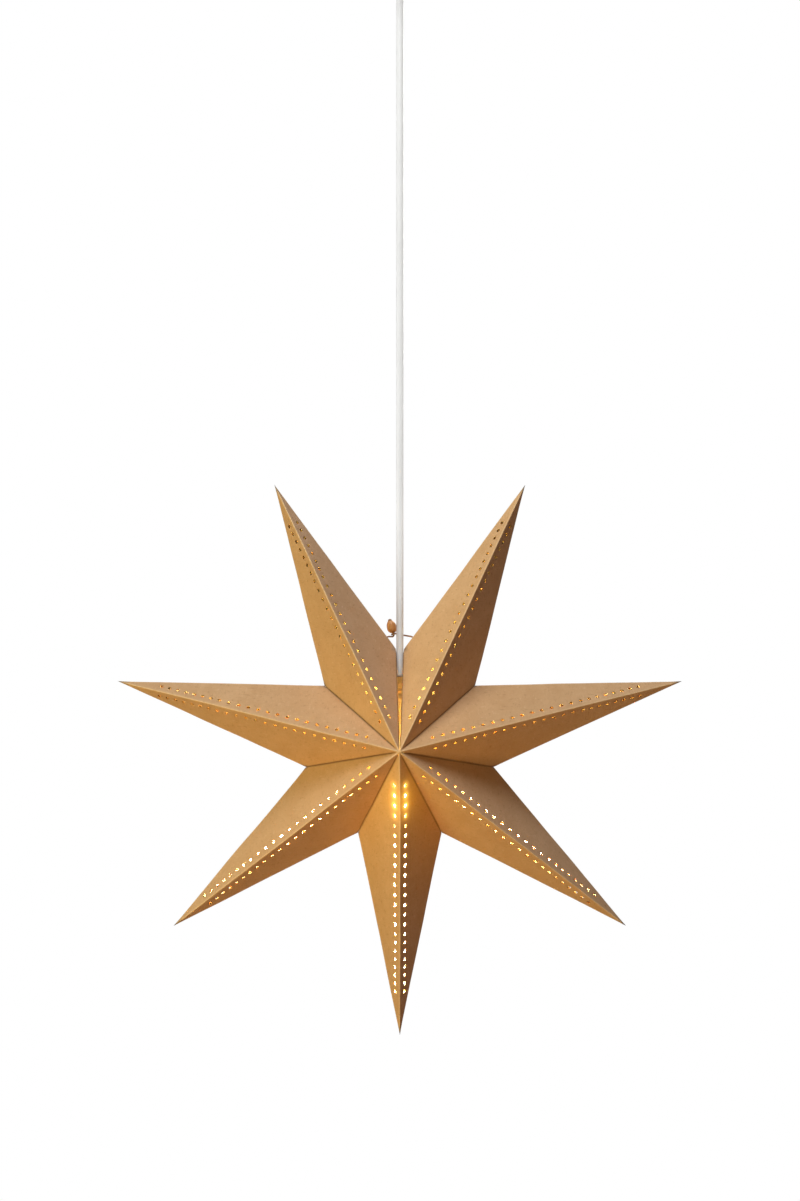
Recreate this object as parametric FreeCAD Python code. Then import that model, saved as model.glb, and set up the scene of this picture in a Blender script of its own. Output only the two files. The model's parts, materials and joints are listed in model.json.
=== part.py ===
import FreeCAD, Part
import math
import os

# A folded card star lantern that hangs from the ceiling on a cord set with a bulb in its middle.
# Millimetres, +Z up, the star's front towards -Y. The origin is on the ceiling, on the cord's axis.
# From the top: ceiling cup, cord grip, cord, lampholder and bulb. The star hangs on the lampholder's
# cord clamp by the edges of its seam, which a bead and a loop hold shut around the cord.

V = FreeCAD.Vector
UP = V(0, 0, 1)
CENTRE = V(0, 0, 0)

# --- star ---
ARM_COUNT = 7
TIP_RADIUS = 231.0  # star's middle to a point
VALLEY_RADIUS = 77.0  # star's middle to the inner corner between two arms
HALF_DEPTH = 63.0  # star's plane to its front or back peak
CARD = 0.5
FLAP_WIDTH = 8.0  # glued strip along each valley
FLAP_START = 0.12  # share of the valley crease that has no flap, at the peak
SEAM_HALF_GAP = 2.9  # half the open seam's width, at its corner

# --- light holes, in one row each side of every ridge ---
HOLE_DIAMETER = 3.6
HOLE_START = 26.3  # peak to the first hole, along the ridge
WIDE_PITCH = 8.3
CLOSE_PITCH = 7.1
CLOSE_STRETCH = 51.0  # length of the row that has the closer pitch
ROW_END_GAP = 38.5  # last hole to the point, at least
ROW_OFFSET_START = 7.3  # ridge to the row, at its first hole
ROW_OFFSET_END = 6.3
HOLE_MARGIN = 2.0  # card left beside a hole, at least
PLATE_OVERRUN = 1.15  # a facet's plate before it is trimmed to the arm, as a share of the facet

# --- seam tie: a bead on a string, and the loop that is hooked under it ---
BEAD_DIAMETER = 8.0
STRING_DIAMETER = 1.3
STRING_CLEARANCE = 0.15
KNOT_DIAMETER = 3.6
TIE_HEIGHT = 9.5  # string holes above the seam's corner
BEAD_OFFSET = V(-6.3, 4.8, 7.1)  # bead's middle from the cord's axis, at the string holes' height
BEAD_LEAN = V(-0.28, 0.05, 1.0)
LOOP_GAP = 0.3  # loop to string, and loop to cord

# --- cord ---
CORD_DIAMETER = 5.7
CORD_DROP = 569.5  # cord grip's mouth to the lampholder's top
CORD_CLEARANCE = 0.1  # cord to the bore of a grip
CORD_RUNNING_GAP = 0.45  # cord to the card of the seam
CONDUCTOR_DIAMETER = 2.2
CONDUCTOR_SPREAD = 1.25  # conductor's middle from the cord's axis
CONDUCTOR_FAN = 4.0  # the same, half way up to the terminal block
CONDUCTOR_STAND_OUT = 9.0  # ceiling conductor in front of the terminal block, at most
CONDUCTOR_LEAD_IN = 4.0  # its straight run up to its pole
CONDUCTOR_INSERT = 5.0  # its end inside the pole
SWING_GAP = 0.9  # end of the moving cord to the pivot in the grip's mouth

# --- ceiling cup and bracket ---
CUP_RADIUS = 44.0
CUP_HEIGHT = 58.0
CUP_WALL = 1.6
CUP_FLOOR = 2.0
CUP_ROUNDING = 7.0
BRACKET_THICKNESS = 1.5
BRACKET_WIDTH = 14.0
BRACKET_TAB = 11.0
BRACKET_GAP = 0.4  # bracket's tabs to the cup's wall
SLOT_SPACING = 54.0
SLOT_LENGTH = 9.0
SLOT_WIDTH = 4.5
SIDE_SCREW_DIAMETER = 4.0
SIDE_SCREW_LENGTH = 8.0
SIDE_SCREW_DEPTH = 6.5  # below the ceiling
SIDE_SCREW_HEAD_RADIUS = 3.6
SIDE_SCREW_HEAD = 2.2
SIDE_SLOT_DEPTH = 0.9
SCREW_CLEARANCE = 0.05
SCREW_SLOT_WIDTH = 0.6
SCREW_SLOT_DEPTH = 0.7
EDGE_ROUNDING = 0.5
THROUGH = 1.0  # how far a cutting shape runs past what it cuts

# --- cord grip in the cup's floor ---
GRIP_LENGTH = 22.0
GRIP_FLANGE_RADIUS = 8.0
GRIP_FLANGE = 4.0
GRIP_NOSE_RADIUS = 6.2
THREAD_DIAMETER = 10.0
THREAD_CLEARANCE = 0.05
GRIP_STUB = 8.0  # thread above the cup's floor
NUT_WIDTH = 14.0
NUT_HEIGHT = 4.0
PIVOT_DEPTH = 5.0  # cord's pivot above the grip's mouth
MOUTH_RADIUS = 5.2
THROAT_RADIUS = 3.35
TAIL_ABOVE_STUB = 2.0
GRUB_DIAMETER = 3.0
FLANGE_STEP = EDGE_ROUNDING * 2.2  # flange beyond the nose's wide end

# --- terminal block under the bracket ---
BLOCK_LENGTH = 22.0
BLOCK_DEPTH = 16.0
BLOCK_HEIGHT = 14.0
POLE_SPACING = 11.0
POLE_RADIUS = 2.4
POLE_BORE_RADIUS = 1.5
POLE_SCREW_DIAMETER = 2.8
POLE_SCREW_OFFSET = 5.0
POLE_SCREW_INSET = 1.5  # screw's end below the block's face

# --- lampholder, down from its top ---
CLAMP_RADIUS = 7.0
CLAMP_SKIRT_RADIUS = 9.0
CLAMP_LENGTH = 14.5
CLAMP_SKIRT_HEIGHT = 3.0
CLAMP_NECK_HEIGHT = 5.0  # where the clamp has narrowed above its skirt
NIPPLE_HEIGHT = 8.0
HOLDER_RADIUS = 14.0
HOLDER_WALL = 1.5
CAP_LENGTH = 21.0
CAP_ROUNDING = 4.0
BARREL_LENGTH = 35.0
SKIRT_LENGTH = 6.0  # cap's thread inside the barrel
HOLDER_FIT = 0.2
CORE_HEIGHT = 10.0
CORE_ABOVE_LEDGE = 0.6  # screw shell's flange, held between core and ledge
LEDGE_DEPTH = 9.1  # below the barrel's top
LEDGE_THICKNESS = 2.0
SHELL_WALL = 0.4
SHELL_LENGTH = 21.5
CONTACT_THICKNESS = 0.5
CONTACT_DROP = 0.9
CONTACT_WIDTH = 4.0
CONTACT_REACH = 2.5  # contact's tongue past the bulb's axis
CONTACT_FOOT_START = 1.0
CONTACT_FOOT_END = 6.0
TERMINAL_SIZE = 5.0
TERMINAL_SPACING = 12.0
TERMINAL_SCREW_DIAMETER = 2.5
TERMINAL_SCREW_HEAD_RADIUS = 2.0
TERMINAL_SCREW_HEAD = 1.4
CORD_END_DEPTH = 18.0  # sheath's end below the lampholder's top

# --- bulb, down from its contact tip ---
BULB_CAP_RADIUS = 6.95
BULB_THREAD_GAP = 0.05
BULB_TIP_GAP = 0.3
BULB_TIP_HEIGHT = 1.8
BULB_TIP_RADIUS = 3.5
BULB_CONE_HEIGHT = 3.2
BULB_CONE_RADIUS = 6.2
BULB_CAP_LENGTH = 19.5
BULB_CAP_WALL = 0.3
BULB_RADIUS = 22.5
BULB_LENGTH = 78.0
GLASS_WALL = 0.8
NECK_GAP = 0.15  # glass neck to the cap around it
NECK_LENGTH = 10.0
NECK_INSET = 4.0  # glass inside the cap
FILAMENT_COUNT = 4
FILAMENT_LENGTH = 28.0
FILAMENT_DIAMETER = 1.8
FILAMENT_RING = 4.2
STEM_RADIUS = 1.8
STEM_ABOVE_STICKS = 2.0
STEM_RIM = 1.5
STEM_FLARE = 5.0  # height of the stem's wide foot
LEAD_DIAMETER = 0.7
BOARD_GAP = 1.5  # cap's floor to the driver's board
BOARD_THICKNESS = 1.2
CAPACITOR_RADIUS = 2.2
CAPACITOR_LENGTH = 7.3
CAPACITOR_OFFSET = 1.5

# --- places that follow from the sizes above ---
STEP = 360.0 / ARM_COUNT
FRONT_PEAK = V(0, -HALF_DEPTH, 0)
BACK_PEAK = V(0, HALF_DEPTH, 0)
CORD_RADIUS = CORD_DIAMETER / 2
GRIP_BORE = CORD_RADIUS + CORD_CLEARANCE
THREAD_RADIUS = THREAD_DIAMETER / 2
CREASE = math.hypot(VALLEY_RADIUS, HALF_DEPTH)
WINDOW_SCALE = 1 - FLAP_WIDTH * CREASE / (VALLEY_RADIUS * HALF_DEPTH)

CUP_FLOOR_Z = -CUP_HEIGHT
GRIP_MOUTH_Z = CUP_FLOOR_Z - GRIP_LENGTH
PIVOT_Z = GRIP_MOUTH_Z + PIVOT_DEPTH
HOLDER_TOP_Z = GRIP_MOUTH_Z - CORD_DROP
CAP_TOP_Z = HOLDER_TOP_Z - CLAMP_LENGTH
BARREL_TOP_Z = CAP_TOP_Z - CAP_LENGTH
LEDGE_Z = BARREL_TOP_Z - LEDGE_DEPTH
CORE_BOTTOM_Z = LEDGE_Z + CORE_ABOVE_LEDGE
CORE_TOP_Z = CORE_BOTTOM_Z + CORE_HEIGHT
BULB_TIP_Z = CORE_BOTTOM_Z - CONTACT_DROP - BULB_TIP_GAP

# The seam's flaps rest on the clamp's rim, which stands in the notch below their inner corner.
NOTCH_SLOPE = VALLEY_RADIUS / HALF_DEPTH
NOTCH_TOP = VALLEY_RADIUS * WINDOW_SCALE
SEAM_X_AT_RIM = SEAM_HALF_GAP * (NOTCH_TOP - CLAMP_RADIUS * NOTCH_SLOPE) / VALLEY_RADIUS
RIM_Y = math.sqrt(CLAMP_RADIUS**2 - SEAM_X_AT_RIM**2)
REST_GAP = 0.3
REST_HEIGHT = NOTCH_TOP - RIM_Y * NOTCH_SLOPE - REST_GAP * CREASE / HALF_DEPTH
STAR_Z = HOLDER_TOP_Z - REST_HEIGHT
STAR_CENTRE = V(0, 0, STAR_Z)


# ---------- shared shapes ----------

def fused(shapes):
    """The shapes as one solid."""
    return shapes[0].multiFuse(shapes[1:]).removeSplitter() if len(shapes) > 1 else shapes[0]


def rounded_wire(points, radii, closed=False):
    """Straight runs through the points, with a tangent arc at each corner that has a radius."""
    count = len(points)
    starts, ends, arcs = list(points), list(points), [None] * count
    for i in range(count) if closed else range(1, count - 1):
        if not radii[i]:
            continue
        before = (points[i - 1] - points[i]).normalize()
        after = (points[(i + 1) % count] - points[i]).normalize()
        half_turn = (math.pi - before.getAngle(after)) / 2
        reach = radii[i] * math.tan(half_turn)
        starts[i], ends[i] = points[i] + before * reach, points[i] + after * reach
        middle = (before + after).normalize()
        top = points[i] + middle * radii[i] * (1 / math.cos(half_turn) - 1)
        arcs[i] = Part.Arc(starts[i], top, ends[i]).toShape()
    edges = []
    for i in range(count if closed else count - 1):
        following = (i + 1) % count
        if ends[i].distanceToPoint(starts[following]) > 1e-6:
            edges.append(Part.LineSegment(ends[i], starts[following]).toShape())
        if arcs[following]:
            edges.append(arcs[following])
    return Part.Wire(Part.__sortEdges__(edges))


def lathe(profile):
    """A turned solid about Z from (radius, height) corners, each with an optional rounding."""
    points = [V(corner[0], 0, corner[1]) for corner in profile]
    radii = [corner[2] if len(corner) > 2 else 0 for corner in profile]
    face = Part.Face(rounded_wire(points, radii, closed=True))
    return face.revolve(CENTRE, UP, 360)


def tube(points, diameter, label=None, largest_bend=math.inf):
    """A round tube along the points, with arcs as large as its runs, or largest_bend, allow."""
    radii = [0] * len(points)
    for i in range(1, len(points) - 1):
        before, after = points[i - 1] - points[i], points[i + 1] - points[i]
        half_turn = (math.pi - before.getAngle(after)) / 2
        runs_allow = 0.45 * min(before.Length, after.Length) / math.tan(half_turn)
        radii[i] = min(runs_allow, largest_bend)
    path = rounded_wire(points, radii)
    start = (points[1] - points[0]).normalize()
    section = Part.Face(Part.Wire(Part.makeCircle(diameter / 2, points[0], start)))
    solid = path.makePipe(section)
    if label:
        print(label, "arc radii", [round(r, 1) for r in radii[1:-1]])
    return solid


def cylinder(radius, start, end):
    """A round bar from start to end."""
    return Part.makeCylinder(radius, (end - start).Length, start, end - start)


def box(low, high):
    """A box between two opposite corners."""
    return Part.makeBox(high.x - low.x, high.y - low.y, high.z - low.z, low)


def ball(diameter, middle):
    return Part.makeSphere(diameter / 2, middle)


def both_sides(make):
    """What make gives for the left and for the right side, as separate solids."""
    return Part.makeCompound([make(-1), make(1)])


# ---------- star ----------

def in_star_plane(radius, angle):
    """A point of the star's plane, from the star's middle."""
    turn = math.radians(angle)
    return V(radius * math.cos(turn), 0, radius * math.sin(turn))


def valley_corner(number):
    """The inner corner after arm number: the seam's own corners stand apart."""
    if number in (0, ARM_COUNT):
        return V(SEAM_HALF_GAP if number == 0 else -SEAM_HALF_GAP, 0, VALLEY_RADIUS)
    return in_star_plane(VALLEY_RADIUS, 90 - STEP * number)


def arm_tip(number):
    return in_star_plane(TIP_RADIUS, 90 - STEP * (number - 0.5))


def polygon_face(corners):
    return Part.Face(Part.makePolygon(corners + corners[:1]))


def hole_stations(ridge, inner_slope, outer_slope):
    """Places of one row's holes, as (distance along the ridge, distance from it)."""
    last = ridge - ROW_END_GAP
    stations = [HOLE_START]
    while True:
        left = last - stations[-1]
        step = WIDE_PITCH if left > CLOSE_STRETCH else CLOSE_PITCH
        if step > left:
            break
        stations.append(stations[-1] + step)
    row = []
    for along in stations:
        share = (along - HOLE_START) / (last - HOLE_START)
        across = ROW_OFFSET_START + (ROW_OFFSET_END - ROW_OFFSET_START) * share
        room = min(along * inner_slope, (ridge - along) * outer_slope)
        if across + HOLE_DIAMETER / 2 + HOLE_MARGIN < room:
            row.append((along, across))
    return row


def slope_between(origin, first, second):
    """The tangent of the angle at origin between two points."""
    return math.tan((first - origin).getAngle(second - origin))


def perforated_panel(peak, tip, corner, inside):
    """One big facet of an arm with its row of light holes, as a plate that runs past its edges."""
    along = (tip - peak).normalize()
    across = (corner - peak) - along * (corner - peak).dot(along)
    across.normalize()
    inward = along.cross(across)
    if inward.dot(inside - peak) < 0:
        inward = inward * -1
    middle = (peak + tip + corner) * (1 / 3)
    wide = [middle + (point - middle) * PLATE_OVERRUN for point in (peak, tip, corner)]
    wires = [Part.makePolygon(wide + wide[:1])]
    row = hole_stations(
        (tip - peak).Length, slope_between(peak, tip, corner), slope_between(tip, peak, corner)
    )
    for distance, offset in row:
        place = peak + along * distance + across * offset
        wires.append(Part.Wire(Part.makeCircle(HOLE_DIAMETER / 2, place, inward)))
    return Part.Face(wires, "Part::FaceMakerBullseye").extrude(inward * CARD)


def glue_flap(corner, inside):
    """The strips along one valley's front and back creases, where two arms are glued."""
    def along_crease(peak, scale):
        return (peak + (corner - peak) * FLAP_START) * scale

    outline = [
        along_crease(FRONT_PEAK, 1),
        corner,
        along_crease(BACK_PEAK, 1),
        along_crease(BACK_PEAK, WINDOW_SCALE),
        corner * WINDOW_SCALE,
        along_crease(FRONT_PEAK, WINDOW_SCALE),
    ]
    inward = (FRONT_PEAK - corner).cross(BACK_PEAK - corner).normalize()
    if inward.dot(inside - corner) < 0:
        inward = inward * -1
    return polygon_face(outline).extrude(inward * CARD)


def folded_arm(number):
    """One arm: a single sheet of card, folded to four facets with a flap on each side."""
    tip, sides = arm_tip(number), (valley_corner(number - 1), valley_corner(number))
    inside = (tip + sides[0] + sides[1]) * (1 / 3)
    facets = [(peak, tip, corner) for peak in (FRONT_PEAK, BACK_PEAK) for corner in sides]
    ends = [(FRONT_PEAK, BACK_PEAK, corner) for corner in sides]
    hull = Part.Solid(Part.Shell([polygon_face(list(f)) for f in facets + ends]))
    plates = [perforated_panel(*facet, inside) for facet in facets]
    plates += [glue_flap(corner, inside) for corner in sides]
    card = fused([plate.common(hull) for plate in plates])
    if number in (1, ARM_COUNT):
        reach = V(0, 0, TIP_RADIUS)
        card = card.cut(cylinder(CORD_RADIUS + CORD_RUNNING_GAP, CENTRE, reach))
        card = card.cut(string_bar(number))
    card.translate(STAR_CENTRE)
    return card


# ---------- seam tie ----------

def string_hole(side):
    """Where the tie's string goes through the back of a seam arm: inside knot, then outside."""
    corner, tip = V(side * SEAM_HALF_GAP, 0, VALLEY_RADIUS), arm_tip(1)
    tip.x = side * tip.x
    edge = (tip - corner).normalize()
    place = corner + edge * (TIE_HEIGHT / edge.z)
    inward = tip * 0.5 - place
    inward = (inward - edge * inward.dot(edge)).normalize()
    outward = (BACK_PEAK - corner).cross(edge).normalize()
    if outward.y < 0:
        outward = outward * -1
    room = KNOT_DIAMETER / 2 + CARD + STRING_CLEARANCE
    knot = place + inward * (room / abs(inward.dot(outward)))
    return knot, knot + outward * (room + STRING_DIAMETER * 1.5)


BEAD_MIDDLE = V(0, 0, VALLEY_RADIUS + TIE_HEIGHT) + BEAD_OFFSET
BEAD_AXIS = BEAD_LEAN * (1 / BEAD_LEAN.Length)
STRING_BEND = STRING_DIAMETER * 1.2
RING_POINT = BEAD_MIDDLE - BEAD_AXIS * ((BEAD_DIAMETER + STRING_DIAMETER) / 2 + LOOP_GAP)
NECK_POINT = RING_POINT - BEAD_AXIS * (STRING_DIAMETER / 2 + STRING_BEND)


def string_bar(number):
    """The bar that is cut from a seam arm's card for its string."""
    knot, outside = string_hole(1 if number == 1 else -1)
    return cylinder(STRING_DIAMETER / 2 + STRING_CLEARANCE, knot, outside * 2 - knot)


def tie_string():
    """The bead's string: from its knot inside the left arm, through the card, up the bead."""
    knot, outside = string_hole(-1)
    top = BEAD_MIDDLE + BEAD_AXIS * (BEAD_DIAMETER / 2 + KNOT_DIAMETER / 2)
    line = tube([knot, outside, NECK_POINT, top], STRING_DIAMETER, largest_bend=STRING_BEND)
    return fused([line, ball(KNOT_DIAMETER, knot), ball(KNOT_DIAMETER, top)])


def tie_bead():
    """The turned wooden bead."""
    bore = cylinder(
        STRING_DIAMETER / 2 + STRING_CLEARANCE,
        BEAD_MIDDLE - BEAD_AXIS * BEAD_DIAMETER,
        BEAD_MIDDLE + BEAD_AXIS * BEAD_DIAMETER,
    )
    return ball(BEAD_DIAMETER, BEAD_MIDDLE).cut(bore)


def tie_loop():
    """The loop: from its knot inside the right arm, behind the cord, around the bead's neck."""
    knot, outside = string_hole(1)
    ring_radius = STRING_DIAMETER + LOOP_GAP
    ring = Part.makeTorus(ring_radius, STRING_DIAMETER / 2, RING_POINT, BEAD_AXIS)
    behind = CORD_RADIUS + CORD_RUNNING_GAP + STRING_DIAMETER
    end = RING_POINT + BEAD_AXIS.cross(V(0, 1, 0)).normalize() * -ring_radius
    if end.x < RING_POINT.x:
        end = RING_POINT * 2 - end
    passing = V(CORD_RADIUS * 0.6, behind, (outside.z + end.z) / 2)
    line = tube([knot, outside, passing, end], STRING_DIAMETER, largest_bend=STRING_BEND * 2)
    return fused([line, ring, ball(KNOT_DIAMETER, knot)])


# ---------- ceiling cup, bracket and terminals ----------

def bracket_tab_x():
    """The outer face of the bracket's tabs, just inside the cup's wall."""
    inner = CUP_RADIUS - CUP_WALL
    return math.sqrt(inner**2 - (BRACKET_WIDTH / 2) ** 2) - BRACKET_GAP


def ceiling_bracket():
    """A steel strip with two slots for the ceiling screws and a tapped tab at each end."""
    x, y = bracket_tab_x(), BRACKET_WIDTH / 2
    plate = box(V(-x, -y, -BRACKET_THICKNESS), V(x, y, 0))
    strip = fused([plate] + [
        box(V(min(s * x, s * (x - BRACKET_THICKNESS)), -y, -BRACKET_TAB),
            V(max(s * x, s * (x - BRACKET_THICKNESS)), y, 0))
        for s in (-1, 1)
    ])
    for s in (-1, 1):
        middle, run = V(s * SLOT_SPACING / 2, 0, 0), (SLOT_LENGTH - SLOT_WIDTH) / 2
        for end in (-1, 1):
            place = middle + V(end * run, 0, 0)
            strip = strip.cut(cylinder(SLOT_WIDTH / 2, place - UP * BRACKET_TAB, place + UP))
        low = middle + V(-run, -SLOT_WIDTH / 2, -BRACKET_THICKNESS - THROUGH)
        strip = strip.cut(box(low, middle + V(run, SLOT_WIDTH / 2, THROUGH)))
        tapped = SIDE_SCREW_DIAMETER / 2 + SCREW_CLEARANCE
        strip = strip.cut(side_bar(s, tapped, x - BRACKET_TAB, CUP_RADIUS))
    return strip.removeSplitter()


def side_bar(side, radius, start, end):
    """A round bar along X on a side screw's axis."""
    height = -SIDE_SCREW_DEPTH
    return cylinder(radius, V(side * start, 0, height), V(side * end, 0, height))


def canopy_cup():
    """The cup that hides the bracket, open at the ceiling."""
    inner = CUP_RADIUS - CUP_WALL
    floor = CUP_FLOOR_Z + CUP_FLOOR
    hole = THREAD_RADIUS + SCREW_CLEARANCE * 2
    cup = lathe([
        (hole, CUP_FLOOR_Z), (CUP_RADIUS, CUP_FLOOR_Z, CUP_ROUNDING), (CUP_RADIUS, 0),
        (inner, 0), (inner, floor, CUP_ROUNDING - CUP_WALL), (hole, floor),
    ])
    wide = SIDE_SCREW_DIAMETER / 2 + SCREW_CLEARANCE * 4
    for s in (-1, 1):
        cup = cup.cut(side_bar(s, wide, inner - THROUGH, CUP_RADIUS + THROUGH))
    return cup


def side_screw(side):
    """A pan-head screw through the cup's wall into the bracket's tab."""
    wide, head, shank = SIDE_SCREW_HEAD_RADIUS, SIDE_SCREW_HEAD, SIDE_SCREW_DIAMETER / 2
    screw = lathe([(0, -SIDE_SCREW_LENGTH), (shank, -SIDE_SCREW_LENGTH, EDGE_ROUNDING), (shank, 0),
                   (wide, 0), (wide, head, head * 0.6), (0, head)])
    half = SCREW_SLOT_WIDTH / 2
    slot = box(V(-wide, -half, head - SIDE_SLOT_DEPTH), V(wide, half, head + THROUGH))
    screw = screw.cut(slot)
    screw.rotate(CENTRE, V(0, 1, 0), 90 * side)
    screw.translate(V(side * CUP_RADIUS, 0, -SIDE_SCREW_DEPTH))
    return screw


def grip_body():
    """The cord grip: a threaded stub through the cup's floor and a nose with a flared mouth."""
    stub_top = CUP_FLOOR_Z + CUP_FLOOR + GRIP_STUB
    body = lathe([
        (GRIP_BORE, stub_top), (GRIP_BORE, PIVOT_Z), (THROAT_RADIUS, PIVOT_Z),
        (MOUTH_RADIUS, GRIP_MOUTH_Z), (GRIP_NOSE_RADIUS, GRIP_MOUTH_Z, EDGE_ROUNDING),
        (GRIP_FLANGE_RADIUS - FLANGE_STEP, CUP_FLOOR_Z - GRIP_FLANGE, EDGE_ROUNDING),
        (GRIP_FLANGE_RADIUS, CUP_FLOOR_Z - GRIP_FLANGE, EDGE_ROUNDING),
        (GRIP_FLANGE_RADIUS, CUP_FLOOR_Z),
        (THREAD_RADIUS, CUP_FLOOR_Z), (THREAD_RADIUS, stub_top),
    ])
    return body.cut(grub_hole(GRIP_FLANGE_RADIUS, grip_grub_z()))


def grip_grub_z():
    return (CUP_FLOOR_Z - GRIP_FLANGE + PIVOT_Z) / 2


def grub_line(end, height):
    """The two ends of a grub screw's axis: at the cord, and end out from its middle, to the front."""
    return V(0, -CORD_RADIUS, height), V(0, -end, height)


def grub_hole(end, height):
    """The bar that is cut for a grub screw, out to end and past it."""
    return cylinder(GRUB_DIAMETER / 2 + SCREW_CLEARANCE, *grub_line(end + THROUGH, height))


def grub_screw(end, height):
    """A slotted nylon grub screw that bears on the cord."""
    start, outside = grub_line(end, height)
    half = SCREW_SLOT_WIDTH / 2
    slot = box(V(-half, -end - THROUGH, height - GRUB_DIAMETER),
               V(half, -end + SCREW_SLOT_DEPTH, height + GRUB_DIAMETER))
    return cylinder(GRUB_DIAMETER / 2, start, outside).cut(slot)


def grip_nut():
    """The hexagon nut on the stub, inside the cup."""
    base, corner = CUP_FLOOR_Z + CUP_FLOOR, NUT_WIDTH / math.sqrt(3)
    corners = [V(corner * math.cos(math.radians(a)), corner * math.sin(math.radians(a)), base)
               for a in range(0, 360, 60)]
    nut = polygon_face(corners).extrude(UP * NUT_HEIGHT)
    start, end = V(0, 0, base - THROUGH), V(0, 0, base + NUT_HEIGHT + THROUGH)
    return nut.cut(cylinder(THREAD_RADIUS + THREAD_CLEARANCE, start, end))


TAIL_TOP_Z = CUP_FLOOR_Z + CUP_FLOOR + GRIP_STUB + TAIL_ABOVE_STUB
POLE_Z = -BRACKET_THICKNESS - BLOCK_HEIGHT / 2
BLOCK_BOTTOM_Z = -BRACKET_THICKNESS - BLOCK_HEIGHT


def pole_bars(radius):
    """A round bar along Y on each terminal pole's axis."""
    half = BLOCK_DEPTH / 2
    return both_sides(lambda s: cylinder(
        radius, V(s * POLE_SPACING / 2, -half, POLE_Z), V(s * POLE_SPACING / 2, half, POLE_Z)))


def pole_screw_bars(radius, low, high):
    """A round bar along Z on the axis of each of the four terminal screws."""
    return Part.makeCompound([
        cylinder(radius, V(s * POLE_SPACING / 2, t * POLE_SCREW_OFFSET, low),
                 V(s * POLE_SPACING / 2, t * POLE_SCREW_OFFSET, high))
        for s in (-1, 1) for t in (-1, 1)
    ])


def terminal_block():
    """The plastic block of the two-pole terminal, under the bracket."""
    block = box(V(-BLOCK_LENGTH / 2, -BLOCK_DEPTH / 2, BLOCK_BOTTOM_Z),
                V(BLOCK_LENGTH / 2, BLOCK_DEPTH / 2, -BRACKET_THICKNESS))
    block = block.cut(pole_bars(POLE_RADIUS + SCREW_CLEARANCE))
    wide = POLE_SCREW_DIAMETER / 2 + SCREW_CLEARANCE * 4
    return block.cut(pole_screw_bars(wide, BLOCK_BOTTOM_Z - THROUGH, POLE_Z))


def terminal_poles():
    """The two brass tubes that join the wires."""
    poles = pole_bars(POLE_RADIUS).cut(pole_bars(POLE_BORE_RADIUS))
    return poles.cut(pole_screw_bars(POLE_SCREW_DIAMETER / 2 + SCREW_CLEARANCE, BLOCK_BOTTOM_Z, POLE_Z))


def terminal_screws():
    """The four screws of the terminal, one at each end of each pole."""
    top = POLE_Z - CONDUCTOR_DIAMETER / 2 - SCREW_CLEARANCE
    low = BLOCK_BOTTOM_Z + POLE_SCREW_INSET
    screws = pole_screw_bars(POLE_SCREW_DIAMETER / 2, low, top)
    corner = V(POLE_SCREW_DIAMETER, SCREW_SLOT_WIDTH / 2, SCREW_SLOT_DEPTH)
    slots = Part.makeCompound([
        box(V(s * POLE_SPACING / 2, t * POLE_SCREW_OFFSET, low) - corner,
            V(s * POLE_SPACING / 2, t * POLE_SCREW_OFFSET, low) + corner)
        for s in (-1, 1) for t in (-1, 1)
    ])
    return screws.cut(slots)


def ceiling_wire(side):
    """A conductor from the cord's end in the cup, around the block and into its pole."""
    x, mouth = side * POLE_SPACING / 2, -BLOCK_DEPTH / 2
    rise = POLE_Z - TAIL_TOP_Z
    return tube([
        V(side * CONDUCTOR_SPREAD, 0, TAIL_TOP_Z),
        V(side * CONDUCTOR_SPREAD, 0, TAIL_TOP_Z + rise * 0.2),
        V(side * CONDUCTOR_FAN, mouth - CONDUCTOR_STAND_OUT * 2 / 3, TAIL_TOP_Z + rise * 0.5),
        V(x, mouth - CONDUCTOR_STAND_OUT, POLE_Z - rise * 0.15),
        V(x, mouth - CONDUCTOR_LEAD_IN, POLE_Z),
        V(x, mouth + CONDUCTOR_INSERT, POLE_Z),
    ], CONDUCTOR_DIAMETER, "ceiling wire")


def ceiling_cord_tail():
    """The end of the sheathed cord that the grip holds."""
    return cylinder(CORD_RADIUS, V(0, 0, PIVOT_Z), V(0, 0, TAIL_TOP_Z))


# ---------- cord and lampholder ----------

CORD_TOP_Z = PIVOT_Z - SWING_GAP
CORD_END_Z = HOLDER_TOP_Z - CORD_END_DEPTH
WIRE_END_Z = CORE_TOP_Z + TERMINAL_SIZE


def flex_cord():
    """The free cord, pulled straight by the lamp's weight, down into the lampholder."""
    return cylinder(CORD_RADIUS, V(0, 0, CORD_END_Z), V(0, 0, CORD_TOP_Z))


def cord_clamp():
    """The lampholder's cord clamp, screwed on the cap's nipple."""
    top, bottom = HOLDER_TOP_Z, CAP_TOP_Z
    nipple = THREAD_RADIUS + THREAD_CLEARANCE
    shoulder = bottom + NIPPLE_HEIGHT + THREAD_CLEARANCE * 4
    body = lathe([
        (GRIP_BORE, top), (CLAMP_RADIUS, top, EDGE_ROUNDING),
        (CLAMP_RADIUS, bottom + CLAMP_NECK_HEIGHT, EDGE_ROUNDING * 2),
        (CLAMP_SKIRT_RADIUS, bottom + CLAMP_SKIRT_HEIGHT, EDGE_ROUNDING * 2),
        (CLAMP_SKIRT_RADIUS, bottom), (nipple, bottom), (nipple, shoulder), (GRIP_BORE, shoulder),
    ])
    return body.cut(grub_hole(CLAMP_RADIUS, clamp_grub_z()))


def clamp_grub_z():
    return HOLDER_TOP_Z - (CLAMP_LENGTH - NIPPLE_HEIGHT) / 2


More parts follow.
